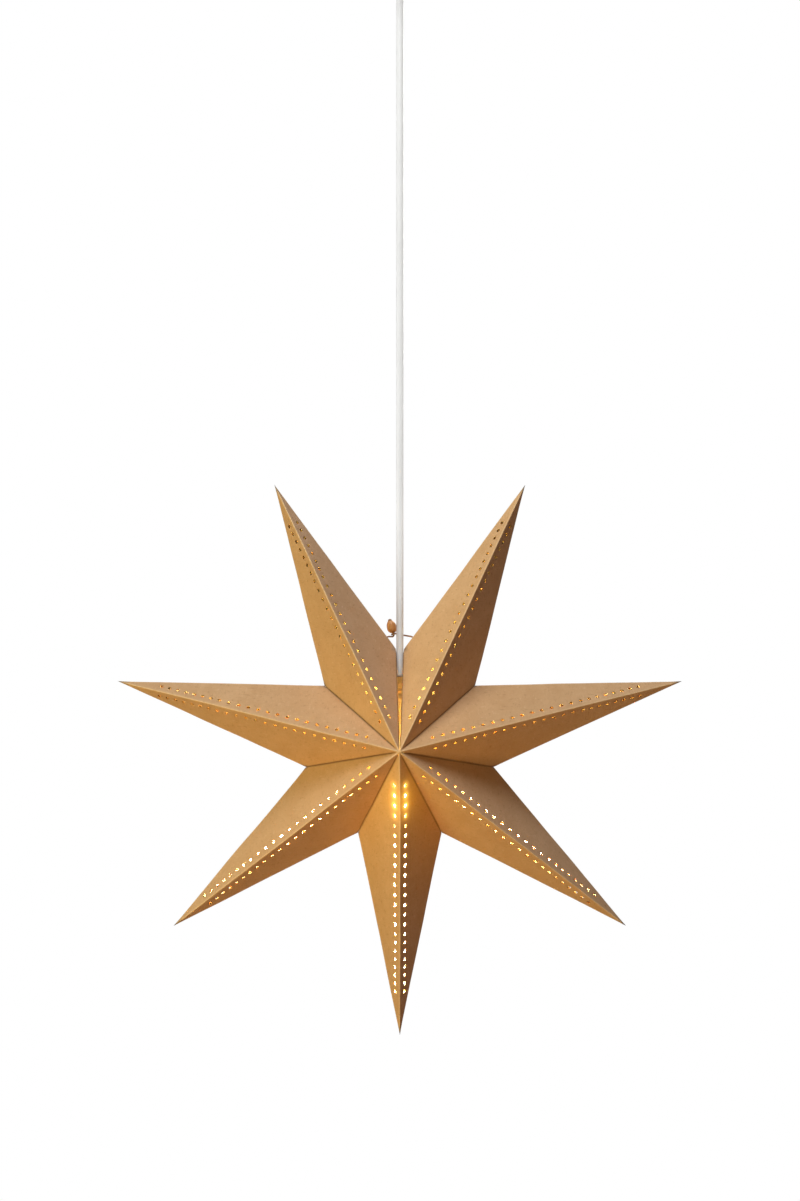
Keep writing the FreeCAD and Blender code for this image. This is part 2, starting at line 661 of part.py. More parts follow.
def holder_cap():
    """The lampholder's upper shell, with a nipple above and a threaded skirt below."""
    inner = HOLDER_RADIUS - HOLDER_WALL
    skirt = inner - HOLDER_FIT
    bottom = BARREL_TOP_Z - SKIRT_LENGTH
    return lathe([
        (GRIP_BORE, CAP_TOP_Z + NIPPLE_HEIGHT),
        (THREAD_RADIUS, CAP_TOP_Z + NIPPLE_HEIGHT, EDGE_ROUNDING),
        (THREAD_RADIUS, CAP_TOP_Z), (HOLDER_RADIUS, CAP_TOP_Z, CAP_ROUNDING),
        (HOLDER_RADIUS, BARREL_TOP_Z), (skirt, BARREL_TOP_Z), (skirt, bottom),
        (skirt - HOLDER_WALL, bottom), (skirt - HOLDER_WALL, CAP_TOP_Z - HOLDER_WALL, CAP_ROUNDING / 2),
        (GRIP_BORE, CAP_TOP_Z - HOLDER_WALL),
    ])


def holder_barrel():
    """The lampholder's lower shell, with the ledge that carries screw shell and core."""
    inner, opening = HOLDER_RADIUS - HOLDER_WALL, shell_outer_radius() + HOLDER_FIT
    bottom = BARREL_TOP_Z - BARREL_LENGTH
    return lathe([
        (inner, BARREL_TOP_Z), (HOLDER_RADIUS, BARREL_TOP_Z), (HOLDER_RADIUS, bottom, EDGE_ROUNDING),
        (inner, bottom, EDGE_ROUNDING), (inner, LEDGE_Z - LEDGE_THICKNESS),
        (opening, LEDGE_Z - LEDGE_THICKNESS), (opening, LEDGE_Z), (inner, LEDGE_Z),
    ])


def core_radius():
    return HOLDER_RADIUS - HOLDER_WALL * 2 - HOLDER_FIT * 2


def holder_core():
    """The heat-proof disc that carries the terminals."""
    return lathe([(0, CORE_BOTTOM_Z), (core_radius(), CORE_BOTTOM_Z),
                  (core_radius(), CORE_TOP_Z, EDGE_ROUNDING), (0, CORE_TOP_Z)])


def shell_outer_radius():
    return BULB_CAP_RADIUS + BULB_THREAD_GAP + SHELL_WALL


def screw_shell():
    """The brass shell that takes the bulb's cap, flanged between core and ledge."""
    inner, outer = BULB_CAP_RADIUS + BULB_THREAD_GAP, shell_outer_radius()
    return lathe([
        (inner, CORE_BOTTOM_Z), (core_radius(), CORE_BOTTOM_Z), (core_radius(), LEDGE_Z),
        (outer, LEDGE_Z), (outer, CORE_BOTTOM_Z - SHELL_LENGTH), (inner, CORE_BOTTOM_Z - SHELL_LENGTH),
    ])


def centre_contact():
    """The brass tongue that meets the bulb's tip, under the core."""
    half, low = CONTACT_WIDTH / 2, CORE_BOTTOM_Z - CONTACT_DROP
    foot = box(V(-half, CONTACT_FOOT_START, CORE_BOTTOM_Z - CONTACT_THICKNESS),
               V(half, CONTACT_FOOT_END, CORE_BOTTOM_Z))
    tongue = box(V(-half, -CONTACT_REACH, low),
                 V(half, CONTACT_FOOT_START * 2, low + CONTACT_THICKNESS))
    return fused([foot, tongue])


def holder_terminal(side):
    """A brass terminal on the core."""
    half = TERMINAL_SIZE / 2
    middle = V(side * TERMINAL_SPACING / 2, 0, CORE_TOP_Z)
    block = box(middle + V(-half, -half, 0), middle + V(half, half, TERMINAL_SIZE))
    axis = middle + UP * half
    tapped = TERMINAL_SCREW_DIAMETER / 2 + SCREW_CLEARANCE
    return block.cut(cylinder(tapped, axis - V(0, half + THROUGH, 0), axis))


def holder_terminal_screw(side):
    """A terminal's screw, from the front."""
    face = V(side * TERMINAL_SPACING / 2, -TERMINAL_SIZE / 2, CORE_TOP_Z + TERMINAL_SIZE / 2)
    end, top = V(0, TERMINAL_SIZE / 2 - SCREW_CLEARANCE * 4, 0), V(0, -TERMINAL_SCREW_HEAD, 0)
    shank = cylinder(TERMINAL_SCREW_DIAMETER / 2, face + end, face)
    head = cylinder(TERMINAL_SCREW_HEAD_RADIUS, face, face + top)
    corner = V(TERMINAL_SCREW_HEAD_RADIUS * 2, SCREW_SLOT_DEPTH, SCREW_SLOT_WIDTH / 2)
    return fused([shank, head]).cut(box(face + top - corner, face + top + corner))


def holder_wire(side):
    """A conductor from the cord's end to its terminal."""
    x, fall = side * TERMINAL_SPACING / 2, CORD_END_Z - WIRE_END_Z
    return tube([
        V(side * CONDUCTOR_SPREAD, 0, CORD_END_Z),
        V(side * CONDUCTOR_SPREAD, 0, CORD_END_Z - fall * 0.3),
        V(x, 0, WIRE_END_Z + fall * 0.3),
        V(x, 0, WIRE_END_Z),
    ], CONDUCTOR_DIAMETER, "holder wire")


# ---------- bulb ----------

CONE_BASE_Z = BULB_TIP_Z - BULB_TIP_HEIGHT - BULB_CONE_HEIGHT
BULB_CAP_END_Z = CONE_BASE_Z - BULB_CAP_LENGTH
GLOBE_Z = BULB_TIP_Z - BULB_LENGTH + BULB_RADIUS
NECK_RADIUS = BULB_CAP_RADIUS - BULB_CAP_WALL - NECK_GAP
NECK_TOP_Z = BULB_CAP_END_Z + NECK_INSET


def bulb_contact():
    """The solder tip, which slides with the bulb along its thread."""
    low = BULB_TIP_Z - BULB_TIP_HEIGHT
    return lathe([(0, low), (BULB_TIP_RADIUS, low),
                  (BULB_TIP_RADIUS * 0.8, BULB_TIP_Z, EDGE_ROUNDING), (0, BULB_TIP_Z)])


def bulb_insulator():
    """The dark glass cone between tip and cap."""
    top = BULB_TIP_Z - BULB_TIP_HEIGHT
    return lathe([(0, CONE_BASE_Z), (BULB_CONE_RADIUS, CONE_BASE_Z, EDGE_ROUNDING),
                  (BULB_TIP_RADIUS, top), (0, top)])


def bulb_screw_cap():
    """The thin metal cap with the bulb's thread, as its outer cylinder."""
    inner = BULB_CAP_RADIUS - BULB_CAP_WALL
    return lathe([
        (0, CONE_BASE_Z), (BULB_CAP_RADIUS, CONE_BASE_Z, EDGE_ROUNDING), (BULB_CAP_RADIUS, BULB_CAP_END_Z),
        (inner, BULB_CAP_END_Z), (inner, CONE_BASE_Z - BULB_CAP_WALL), (0, CONE_BASE_Z - BULB_CAP_WALL),
    ])


def globe_outline(inset):
    """The bulb's half outline from the neck to its lowest point, moved in by inset."""
    neck, globe = NECK_RADIUS - inset, BULB_RADIUS - inset
    bend = V(neck, 0, NECK_TOP_Z - NECK_LENGTH)
    middle = V(0, 0, GLOBE_Z)
    to_middle = middle - bend
    tangent = math.sqrt(to_middle.Length**2 - globe**2)
    lean = math.atan2(bend.x, bend.z - GLOBE_Z) + math.acos(globe / to_middle.Length)
    touch = middle + V(globe * math.sin(lean), 0, globe * math.cos(lean))
    bend_radius = 0.8 * min(tangent, NECK_LENGTH - NECK_INSET)
    path = rounded_wire([V(neck, 0, NECK_TOP_Z), bend, touch], [0, bend_radius, 0])
    half = (lean + math.pi) / 2
    side = middle + V(globe * math.sin(half), 0, globe * math.cos(half))
    bottom = middle - UP * globe
    return list(path.Edges) + [Part.Arc(touch, side, bottom).toShape()], bottom


def bulb_glass():
    """The clear globe, open at its neck."""
    outer, outer_bottom = globe_outline(0)
    inner, inner_bottom = globe_outline(GLASS_WALL)
    rim = Part.LineSegment(V(NECK_RADIUS, 0, NECK_TOP_Z), V(NECK_RADIUS - GLASS_WALL, 0, NECK_TOP_Z))
    foot = Part.LineSegment(outer_bottom, inner_bottom)
    wire = Part.Wire(Part.__sortEdges__(outer + inner + [rim.toShape(), foot.toShape()]))
    return Part.Face(wire).revolve(CENTRE, UP, 360)


STEM_END_Z = GLOBE_Z + FILAMENT_LENGTH / 2 + STEM_ABOVE_STICKS
RING_END_Z = GLOBE_Z - FILAMENT_LENGTH / 2


def bulb_stem():
    """The glass stem that closes the neck and carries the leads."""
    flare = NECK_RADIUS - GLASS_WALL - NECK_GAP
    return lathe([
        (0, NECK_TOP_Z), (flare, NECK_TOP_Z), (flare, NECK_TOP_Z - STEM_RIM),
        (STEM_RADIUS, NECK_TOP_Z - STEM_FLARE, STEM_RADIUS * 0.8),
        (STEM_RADIUS, STEM_END_Z, EDGE_ROUNDING), (0, STEM_END_Z),
    ])


def around_bulb(count, radius, make):
    """What make gives at each of count places around the bulb's axis."""
    angles = [math.radians(45 + 360 / count * i) for i in range(count)]
    return [make(V(radius * math.cos(a), radius * math.sin(a), 0)) for a in angles]


def bulb_filaments():
    """The upright light sticks."""
    half = UP * (FILAMENT_LENGTH / 2)
    middle = V(0, 0, GLOBE_Z)
    return Part.makeCompound(around_bulb(FILAMENT_COUNT, FILAMENT_RING, lambda out: cylinder(
        FILAMENT_DIAMETER / 2, middle + out - half, middle + out + half)))


def bulb_leads():
    """The wires: a crown above the sticks, a post down the middle and a ring under them."""
    wire = LEAD_DIAMETER / 2
    low = V(0, 0, RING_END_Z - wire)
    high = V(0, 0, RING_END_Z + FILAMENT_LENGTH + wire)
    post = cylinder(wire, V(0, 0, STEM_END_Z), low - UP * wire)
    ring = Part.makeTorus(FILAMENT_RING, wire, low, UP)
    spokes = around_bulb(FILAMENT_COUNT, FILAMENT_RING, lambda out: cylinder(wire, low, low + out))
    reach = FILAMENT_RING + wire
    crown = around_bulb(FILAMENT_COUNT, reach, lambda out: cylinder(wire, high, high + out))
    return fused([post, ring] + spokes + crown)


def bulb_driver():
    """The small circuit board and capacitor inside the cap."""
    top = V(0, 0, CONE_BASE_Z - BULB_CAP_WALL - BOARD_GAP)
    under = top - UP * BOARD_THICKNESS
    board = cylinder(NECK_RADIUS, under, top)
    foot = under + V(0, CAPACITOR_OFFSET, 0)
    return fused([board, cylinder(CAPACITOR_RADIUS, foot - UP * CAPACITOR_LENGTH, foot)])


# ---------- all nodes ----------

def sub_parts():
    """Every sub-part by its name."""
    nodes = {
        "ceiling_bracket": ceiling_bracket(),
        "canopy_cup": canopy_cup(),
        "canopy_side_screws": both_sides(side_screw),
        "cord_grip_body": grip_body(),
        "cord_grip_nut": grip_nut(),
        "cord_grip_screw": grub_screw(GRIP_NOSE_RADIUS, grip_grub_z()),
        "ceiling_cord_tail": ceiling_cord_tail(),
        "terminal_block": terminal_block(),
        "terminal_poles": terminal_poles(),
        "terminal_screws": terminal_screws(),
        "ceiling_wire_brown": ceiling_wire(-1),
        "ceiling_wire_blue": ceiling_wire(1),
        "flex_cord": flex_cord(),
        "holder_cord_clamp": cord_clamp(),
        "holder_clamp_screw": grub_screw(CLAMP_RADIUS, clamp_grub_z()),
        "holder_cap": holder_cap(),
        "holder_barrel": holder_barrel(),
        "holder_core": holder_core(),
        "holder_screw_shell": screw_shell(),
        "holder_centre_contact": centre_contact(),
        "holder_terminals": both_sides(holder_terminal),
        "holder_terminal_screws": both_sides(holder_terminal_screw),
        "holder_wire_brown": holder_wire(-1),
        "holder_wire_blue": holder_wire(1),
        "bulb_contact": bulb_contact(),
        "bulb_insulator": bulb_insulator(),
        "bulb_screw_cap": bulb_screw_cap(),
        "bulb_glass": bulb_glass(),
        "bulb_stem": bulb_stem(),
        "bulb_filaments": bulb_filaments(),
        "bulb_leads": bulb_leads(),
        "bulb_driver": bulb_driver(),
    }
    for number in range(1, ARM_COUNT + 1):
        nodes[f"star_arm_{number}"] = folded_arm(number)
    for name, make in (("tie_string", tie_string), ("tie_bead", tie_bead), ("tie_loop", tie_loop)):
        nodes[name] = make()
        nodes[name].translate(STAR_CENTRE)
    return nodes


os.makedirs("parts", exist_ok=True)
for name, shape in sub_parts().items():
    shape.exportStep(f"parts/{name}.step")
    solids = len(shape.Solids)
    print(f"{name}: {solids} solid(s), {shape.Volume:.1f} mm3, valid {shape.isValid()}")
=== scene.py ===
import bpy
import json
import math
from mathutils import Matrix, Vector, noise
from mathutils.geometry import delaunay_2d_cdt

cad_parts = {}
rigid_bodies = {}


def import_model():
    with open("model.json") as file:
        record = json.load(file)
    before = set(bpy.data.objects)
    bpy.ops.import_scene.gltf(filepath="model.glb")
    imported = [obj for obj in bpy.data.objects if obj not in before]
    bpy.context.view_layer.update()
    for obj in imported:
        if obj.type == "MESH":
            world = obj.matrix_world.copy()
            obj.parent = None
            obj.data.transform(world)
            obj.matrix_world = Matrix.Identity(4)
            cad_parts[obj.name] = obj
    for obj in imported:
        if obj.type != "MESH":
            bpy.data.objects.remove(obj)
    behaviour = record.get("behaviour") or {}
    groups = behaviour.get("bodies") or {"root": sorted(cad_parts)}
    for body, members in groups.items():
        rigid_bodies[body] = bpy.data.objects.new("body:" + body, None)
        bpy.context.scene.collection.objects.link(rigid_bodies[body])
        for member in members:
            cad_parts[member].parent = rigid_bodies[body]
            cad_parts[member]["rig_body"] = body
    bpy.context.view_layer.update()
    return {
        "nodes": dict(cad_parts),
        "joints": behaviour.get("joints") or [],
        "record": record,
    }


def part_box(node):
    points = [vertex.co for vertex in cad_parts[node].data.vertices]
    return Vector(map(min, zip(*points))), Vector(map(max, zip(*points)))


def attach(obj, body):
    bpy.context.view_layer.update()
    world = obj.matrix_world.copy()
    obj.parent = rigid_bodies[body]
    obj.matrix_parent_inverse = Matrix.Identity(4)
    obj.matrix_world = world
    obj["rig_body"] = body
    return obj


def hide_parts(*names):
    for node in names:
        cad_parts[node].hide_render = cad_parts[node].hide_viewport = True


# A folded card star lantern, lit from inside, on a white cord set. Metres, the CAD's own frame.

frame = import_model()

MM = 0.001

# --- the star's sizes, from the frame where it holds them ---
ARM_COUNT = 7
STEP = 2 * math.pi / ARM_COUNT
DOWN_ARM = 4  # the arm that hangs straight down, in front of the bulb
STAR_JOINT = next(j for j in frame["joints"] if j["name"] == "star_turn")
STAR_CENTRE = Vector(STAR_JOINT["pos_m"])
ARM_LOW, ARM_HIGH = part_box(f"star_arm_{DOWN_ARM}")
TIP_RADIUS = STAR_CENTRE.z - ARM_LOW.z
HALF_DEPTH = ARM_HIGH.y
VALLEY_RADIUS = ARM_HIGH.x / math.sin(STEP / 2)
SEAM_HALF_GAP = 2.9 * MM
CARD = 0.5 * MM
FLAP_WIDTH = 8.0 * MM
FLAP_START = 0.03  # share of the valley crease that has no flap
# reach of the painted shade on a flap, from its valley crease
FLAP_SHADE_REACH = 3.0 * MM
PEAKS = (Vector((0, -HALF_DEPTH, 0)), Vector((0, HALF_DEPTH, 0)))
CREASE_LENGTH = math.hypot(VALLEY_RADIUS, HALF_DEPTH)
WINDOW_SCALE = 1 - FLAP_WIDTH * CREASE_LENGTH / (VALLEY_RADIUS * HALF_DEPTH)

# --- light holes ---
HOLE_RADIUS = 1.45 * MM
HOLE_START = 29.6 * MM
WIDE_PITCH = 8.3 * MM
CLOSE_PITCH = 7.1 * MM
CLOSE_STRETCH = 51.0 * MM
ROW_END_GAP = 35.2 * MM
ROW_OFFSETS = (7.3 * MM, 6.3 * MM)
BACK_ROW_SHIFT = WIDE_PITCH / 2  # so the lit card shows through a hole more than the room behind
HOLE_MARGIN = 2.0 * MM
HOLE_SIDES = 18
HOLE_LIP = 0.55 * MM  # ring around a hole that the punch pressed in
HOLE_PRESS = 0.12 * MM
PRESS_REACH = HOLE_LIP * 1.5
HOLE_CUT = 0.98  # faces whose middle lies within this share of a hole's radius are cut out

# --- the folds of the card ---
RIDGE_ROUNDING = 0.6 * MM
OUTLINE_ROUNDING = 0.6 * MM
VALLEY_ROUNDING = 0.5 * MM
FOLD_ROWS = 3  # rows of points from a fold's middle to its end
FOLD_FADE = 8.0 * MM  # a fold is sharp at its ends and round from here on
STATION = 5.0 * MM  # spacing of points along a fold
FOLD_MARGIN = 1.3 * MM  # from a fold's end to the row of points that keeps the facet flat
# widths of the pale line along a ridge and an outline fold, partly wear and partly a painted
# highlight
RIDGE_WEAR_AND_HIGHLIGHT = 1.2 * MM
OUTLINE_WEAR_AND_HIGHLIGHT = 1.0 * MM
OUTLINE_SHARE = 0.6  # of a ridge's wear and painted highlight
# width of the painted shade line along a valley crease
VALLEY_LINE = 0.85 * MM
POINT_SOIL = 9.0 * MM
PEAK_CLEAR_OF_SHADE = 9.0 * MM  # the valleys' painted shade stops short of a peak
GRID = 6.5 * MM  # spacing of the points that fill a facet
GRID_SQUASH = 0.87  # height of a row of them, by its spacing
GRID_MARGIN = 3.6 * MM
GRID_HOLE_MARGIN = GRID_MARGIN * 0.7
CDT_INSIDE = 1  # of the triangulation, the faces inside the outline
CDT_SLACK = 1e-7
JOIN = 0.004 * MM  # points that lie closer than this become one
NEARBY = ((0, 0, 0), (1, 0, 0), (-1, 0, 0), (0, 1, 0), (0, -1, 0), (0, 0, 1), (0, 0, -1))
BOW = 0.55 * MM  # how far a facet's middle bends in or out, at most
WEIGHTS_PEAK = 27  # one over the product of the three weights in a facet's middle
SWAYS = ((0.060, 0.45 * MM), (0.021, 0.14 * MM))  # (wavelength, size) of the card's unevenness
SWAY_SEED = 147  # without a seed of its own, noise_vector takes the clock's
VALLEY_SLACK = 0.06 * MM  # between the glued arms, and none where they meet in a peak
SLACK_DEPTH = 1.0 * MM  # as deep as this beside a valley plane
SLACK_REACH = 14.0 * MM
TIP_TAPER = 9.0 * MM  # the card thins towards a point and a peak, where its folds close
PEAK_TAPER = 12.0 * MM
THINNEST = 0.08  # share of the card's thickness
SHARP_CARD = math.radians(38)
CORD_RADIUS = 2.85 * MM
CORD_ROOM = 0.45 * MM

# --- the bulb's light, from the frame ---
GLASS_LOW, GLASS_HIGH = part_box("bulb_glass")
GLOBE_RADIUS = GLASS_HIGH.x
GLOBE = Vector((0, 0, GLASS_LOW.z + GLOBE_RADIUS))

# --- the photograph's camera ---
PHOTO_HEIGHT = 1201
FOCAL_PIXELS = 1880
SENSOR = 36.0
CAMERA_DISTANCE = 1.5  # to the star's plane
CAMERA_ABOVE_STAR = 115.7 * MM
CAMERA_SIDE = 0.1 * MM


def placed(name, data):
    """A new object of the scene, with this data."""
    made = bpy.data.objects.new(name, data)
    bpy.context.collection.objects.link(made)
    return made


# ---------- camera ----------

def make_camera():
    """The photograph's own view: level, a little above the star's middle."""
    data = bpy.data.cameras.new("camera")
    data.sensor_width = SENSOR
    data.lens = SENSOR * FOCAL_PIXELS / PHOTO_HEIGHT
    data.clip_start = 0.05
    camera = placed("camera", data)
    camera.location = (CAMERA_SIDE, -CAMERA_DISTANCE, STAR_CENTRE.z + CAMERA_ABOVE_STAR)
    camera.rotation_euler = (math.pi / 2, 0, 0)
    bpy.context.scene.camera = camera


# ---------- node helpers ----------

class Finish:
    """A procedural material, built node by node around one Principled shader."""

    def __init__(self, name):
        self.material = bpy.data.materials.new(name)
        self.material.use_nodes = True
        self.tree = self.material.node_tree
        self.tree.nodes.clear()
        self.shader = self.node("BsdfPrincipled")
        self.output = self.node("OutputMaterial", {"Surface": self.shader.outputs[0]})

    def feed(self, values):
        """Sets the Principled shader's sockets, as base_color for Base Color."""
        for key, value in values.items():
            name = key.replace("_", " ").title().replace("Ior", "IOR")
            self.plug(self.shader.inputs[name], value)

    def plug(self, socket, value):
        if isinstance(value, bpy.types.NodeSocket):
            self.tree.links.new(value, socket)
        elif hasattr(value, "__len__") and len(value) == 3 and socket.type == "RGBA":
            socket.default_value = (*value, 1)
        else:
            socket.default_value = value

    def node(self, kind, inputs=None, **settings):
        made = self.tree.nodes.new("ShaderNode" + kind)
        for key, value in settings.items():
            setattr(made, key, value)
        for key, value in (inputs or {}).items():
            self.plug(made.inputs[key], value)
        return made

    def place(self):
        return self.node("TexCoord").outputs["Object"]

    def scaled(self, scale):
        """The object's coordinates, stretched by scale along each axis."""
        return self.node("Mapping", {"Vector": self.place(), "Scale": scale}).outputs[0]

    def noise(self, scale, detail=3.0, roughness=0.5, vector=None):
        return self.node("TexNoise", {
            "Vector": vector or self.place(), "Scale": scale, "Detail": detail,
            "Roughness": roughness}).outputs["Fac"]

    def attribute(self, name):
        return self.node("Attribute", attribute_name=name).outputs["Fac"]

    def maths(self, operation, first, second=0.0):
        return self.node("Math", {0: first, 1: second}, operation=operation).outputs[0]

    def range(self, value, low, high, to_low=0.0, to_high=1.0):
        return self.node("MapRange", {
            "Value": value, "From Min": low, "From Max": high,
            "To Min": to_low, "To Max": to_high}).outputs[0]

    def mix(self, share, first, second):
        made = self.node("Mix", data_type="RGBA")
        self.plug(made.inputs[0], share)
        self.plug(made.inputs[6], first)
        self.plug(made.inputs[7], second)
        return made.outputs[2]

    def bump(self, height, distance, strength=1.0, under=None):
        inputs = {"Height": height, "Distance": distance, "Strength": strength}
        if under:
            inputs["Normal"] = under
        return self.node("Bump", inputs).outputs[0]

    def see_through(self, share, colour=(1, 1, 1)):
        """Lets a share of the light straight through, tinted by colour."""
        clear = self.node("BsdfTransparent", {"Color": colour})
        both = self.node("MixShader", {0: share, 1: self.shader.outputs[0], 2: clear.outputs[0]})
        self.plug(self.output.inputs["Surface"], both.outputs[0])


# ---------- kraft card ----------

KRAFT_LIGHT = (0.635, 0.405, 0.240)
KRAFT_DARK = (0.520, 0.312, 0.168)
KRAFT_FIBRE = (0.300, 0.165, 0.075)
# pale fibres, and the pale line along folds, which is partly wear and partly a painted highlight
KRAFT_PALE_AND_HIGHLIGHT = (0.800, 0.600, 0.410)
# painted shade in the valley creases
KRAFT_VALLEY_SHADE = (0.150, 0.085, 0.045)
KRAFT_INSIDE = (0.66, 0.42, 0.21)
EDGE_LIGHT = (0.60, 0.36, 0.17)
EDGE_DARK = (0.36, 0.19, 0.08)
TIP_GREY = (0.060, 0.055, 0.055)
GLOW = (0.130, 0.040, 0.002)  # painted emission, standing for the bulb's light through the card
GLOW_REACH = 45 * MM
# painted glare round the holes in front of the bulb, as emission on the card
HALO = (0.95, 0.52, 0.08)
HALO_REACH = 3.0 * MM
HALO_SHARES = (0.85, 1.15, 1.3, 0.6)  # of the first pairs of holes in the lowest arm
WIDE_HALO = (0.50, 0.20, 0.005)
WIDE_HALO_REACH = 11.0 * MM


def shine(finish, middle, colour, reach, power):
    """Painted light, as an emission colour, that fades with the distance from a point, to half at
    reach.
    """
    away = finish.node("VectorMath", {0: finish.place(), 1: tuple(middle)}, operation="DISTANCE")
    fall = finish.maths("POWER", finish.maths("DIVIDE", away.outputs["Value"], reach), power)
    share = finish.maths("DIVIDE", 1.0, finish.maths("ADD", fall, 1.0))
    return finish.node("VectorMath", {0: colour, "Scale": share}, operation="SCALE").outputs[0]


def paper_colour(finish, light, dark):
    """Kraft paper's cloudy pulp with dark and pale fibres."""
    cloud = finish.range(finish.noise(55, 4, 0.62), 0.33, 0.67)
    broad = finish.range(finish.noise(14, 2), 0.35, 0.65)
    base = finish.mix(finish.maths("MULTIPLY", cloud, 0.55), light, dark)
    base = finish.mix(finish.maths("MULTIPLY", broad, 0.30), base, dark)
    for stretch in ((900, 240, 300), (260, 300, 950)):
        fibre = finish.noise(1.0, 3, 0.55, finish.scaled(stretch))
        base = finish.mix(finish.range(fibre, 0.60, 0.74, 0.0, 0.38), base, KRAFT_FIBRE)
        base = finish.mix(finish.range(fibre, 0.38, 0.26, 0.0, 0.30), base, KRAFT_PALE_AND_HIGHLIGHT)
    return base


def paper_bump(finish, strength):
    """Fine tooth on soft pulp."""
    fine = finish.noise(1400, 3, 0.6)
    pulp = finish.noise(210, 4, 0.55)
    return finish.bump(pulp, 0.25 * MM, strength, finish.bump(fine, 0.05 * MM, strength))


def kraft_outside(halos=()):
    """The card's face: pale along folds, partly wear and partly painted highlight, with painted
    shade in the valleys and grey at the points.

    A painted glow, as emission, stands for the bulb shining through it a little. Halos are
    (place, share) of the painted glare round the holes right in front of the bulb.
    """
    finish = Finish("kraft_outside")
    base = paper_colour(finish, KRAFT_LIGHT, KRAFT_DARK)
    wear_and_highlight_share = finish.range(finish.noise(420, 3), 0.30, 0.62, 0.45, 0.95)
    # the fold mark paints a pale line, partly wear and partly highlight; the valley mark paints
    # shade in the creases
    for mark, share, colour in (("fold", wear_and_highlight_share, KRAFT_PALE_AND_HIGHLIGHT), ("valley", 0.85, KRAFT_VALLEY_SHADE),
                                ("point", 0.95, TIP_GREY)):
        base = finish.mix(finish.maths("MULTIPLY", finish.attribute(mark), share), base, colour)
    rough = finish.range(finish.noise(300, 3), 0.3, 0.7, 0.72, 0.90)
    # painted glow and glare, as emission on the card
    light = shine(finish, GLOBE, GLOW, GLOW_REACH, 2.0)
    layers = [shine(finish, middle, tuple(value * share for value in HALO), HALO_REACH, 4.0)
              for middle, share in halos]
    if halos:
        middle = sum((place for place, _ in halos), Vector()) / len(halos)
        layers.append(shine(finish, middle, WIDE_HALO, WIDE_HALO_REACH, 2.0))
    for layer in layers:
        light = finish.node("VectorMath", {0: light, 1: layer}, operation="ADD").outputs[0]
    finish.feed({
        "base_color": base, "roughness": rough, "specular_ior_level": 0.3,
        "normal": paper_bump(finish, 0.55), "emission_color": light, "emission_strength": 1.0})
    return finish.material


def kraft_inside():
    """The card's back, a little rougher and paler, that the bulb lights."""
    finish = Finish("kraft_inside")
    base = paper_colour(finish, KRAFT_INSIDE, KRAFT_DARK)
    finish.feed({
        "base_color": base, "roughness": 0.9, "specular_ior_level": 0.2,
        "normal": paper_bump(finish, 0.7)})
    return finish.material


def kraft_edge():
    """The cut edge, with the layers of the card."""
    finish = Finish("kraft_edge")
    layers = finish.range(finish.noise(2600, 2), 0.35, 0.65)
    finish.feed({
        "base_color": finish.mix(layers, EDGE_LIGHT, EDGE_DARK), "roughness": 0.95,
        "specular_ior_level": 0.2})
    return finish.material


# ---------- the star's card ----------

def in_star_plane(radius, angle):
    return Vector((radius * math.cos(angle), 0, radius * math.sin(angle)))


def valley_corner(number):
    """The inner corner after the arm of this number. The two corners at the seam stand apart."""
    if number in (0, ARM_COUNT):
        return Vector((SEAM_HALF_GAP if number == 0 else -SEAM_HALF_GAP, 0, VALLEY_RADIUS))
    return in_star_plane(VALLEY_RADIUS, math.pi / 2 - STEP * number)


def arm_tip(number):
    return in_star_plane(TIP_RADIUS, math.pi / 2 - STEP * (number - 0.5))


def hole_row(ridge, corner, start=HOLE_START):
    """The middles of one row's holes, as (along the ridge, away from it)."""
    last = ridge - ROW_END_GAP
    inner, outer = corner.y / corner.x, corner.y / (ridge - corner.x)
    along, row = start, []
    while True:
        share = (along - HOLE_START) / (last - HOLE_START)
        across = ROW_OFFSETS[0] + (ROW_OFFSETS[1] - ROW_OFFSETS[0]) * share
        if across + HOLE_RADIUS + HOLE_MARGIN < min(along * inner, (ridge - along) * outer):
            row.append(Vector((along, across)))
        step = WIDE_PITCH if last - along > CLOSE_STRETCH else CLOSE_PITCH
        if along + step > last + 1e-9:
            return row
        along += step


class Fold:
    """One edge of a flat facet, and how the card rounds over it."""

    def __init__(self, start, end, inside, turn, rounding, begin=0.0):
        self.start, self.length = start, (end - start).length
        self.run = (end - start) / self.length
        self.across = Vector((-self.run.y, self.run.x))
        if self.across.dot(inside - start) < 0:
            self.across = -self.across
        self.half_turn, self.rounding = turn / 2, rounding
        self.begin = begin * self.length

    def stations(self):
        count = max(2, round(self.length / STATION))
        return [self.length * i / count for i in range(1, count)]

    def radius(self, along):
        share = min(along - self.begin, self.length - along) / FOLD_FADE
        return self.rounding * max(0.0, min(1.0, share))

    def rows(self):
        """Rows of points beside the fold, from its edge inwards."""
        made = []
        for step in range(FOLD_ROWS + 2):
            row = []
            for along in self.stations():
                reach = self.radius(along) * math.tan(self.half_turn)
                away = reach * min(step, FOLD_ROWS) / FOLD_ROWS
                if step > FOLD_ROWS:
                    away += FOLD_MARGIN * self.radius(along) / self.rounding
                row.append(self.start + self.run * along + self.across * away)
            made.append(row)
        return made

    def where(self, point):
        """(along, away) of a flat point."""
        offset = point - self.start
        return offset.dot(self.run), offset.dot(self.across)

    def rounded(self, point):
        """(shift inwards across the fold, sink below the facet) of a flat point."""
        along, away = self.where(point)
        radius = self.radius(along)
        reach = radius * math.tan(self.half_turn)
        if away >= reach or radius <= 0:
            return 0.0, 0.0
        angle = self.half_turn * (1 - away / reach)
        return reach - radius * math.sin(angle) - away, radius * (1 - math.cos(angle))


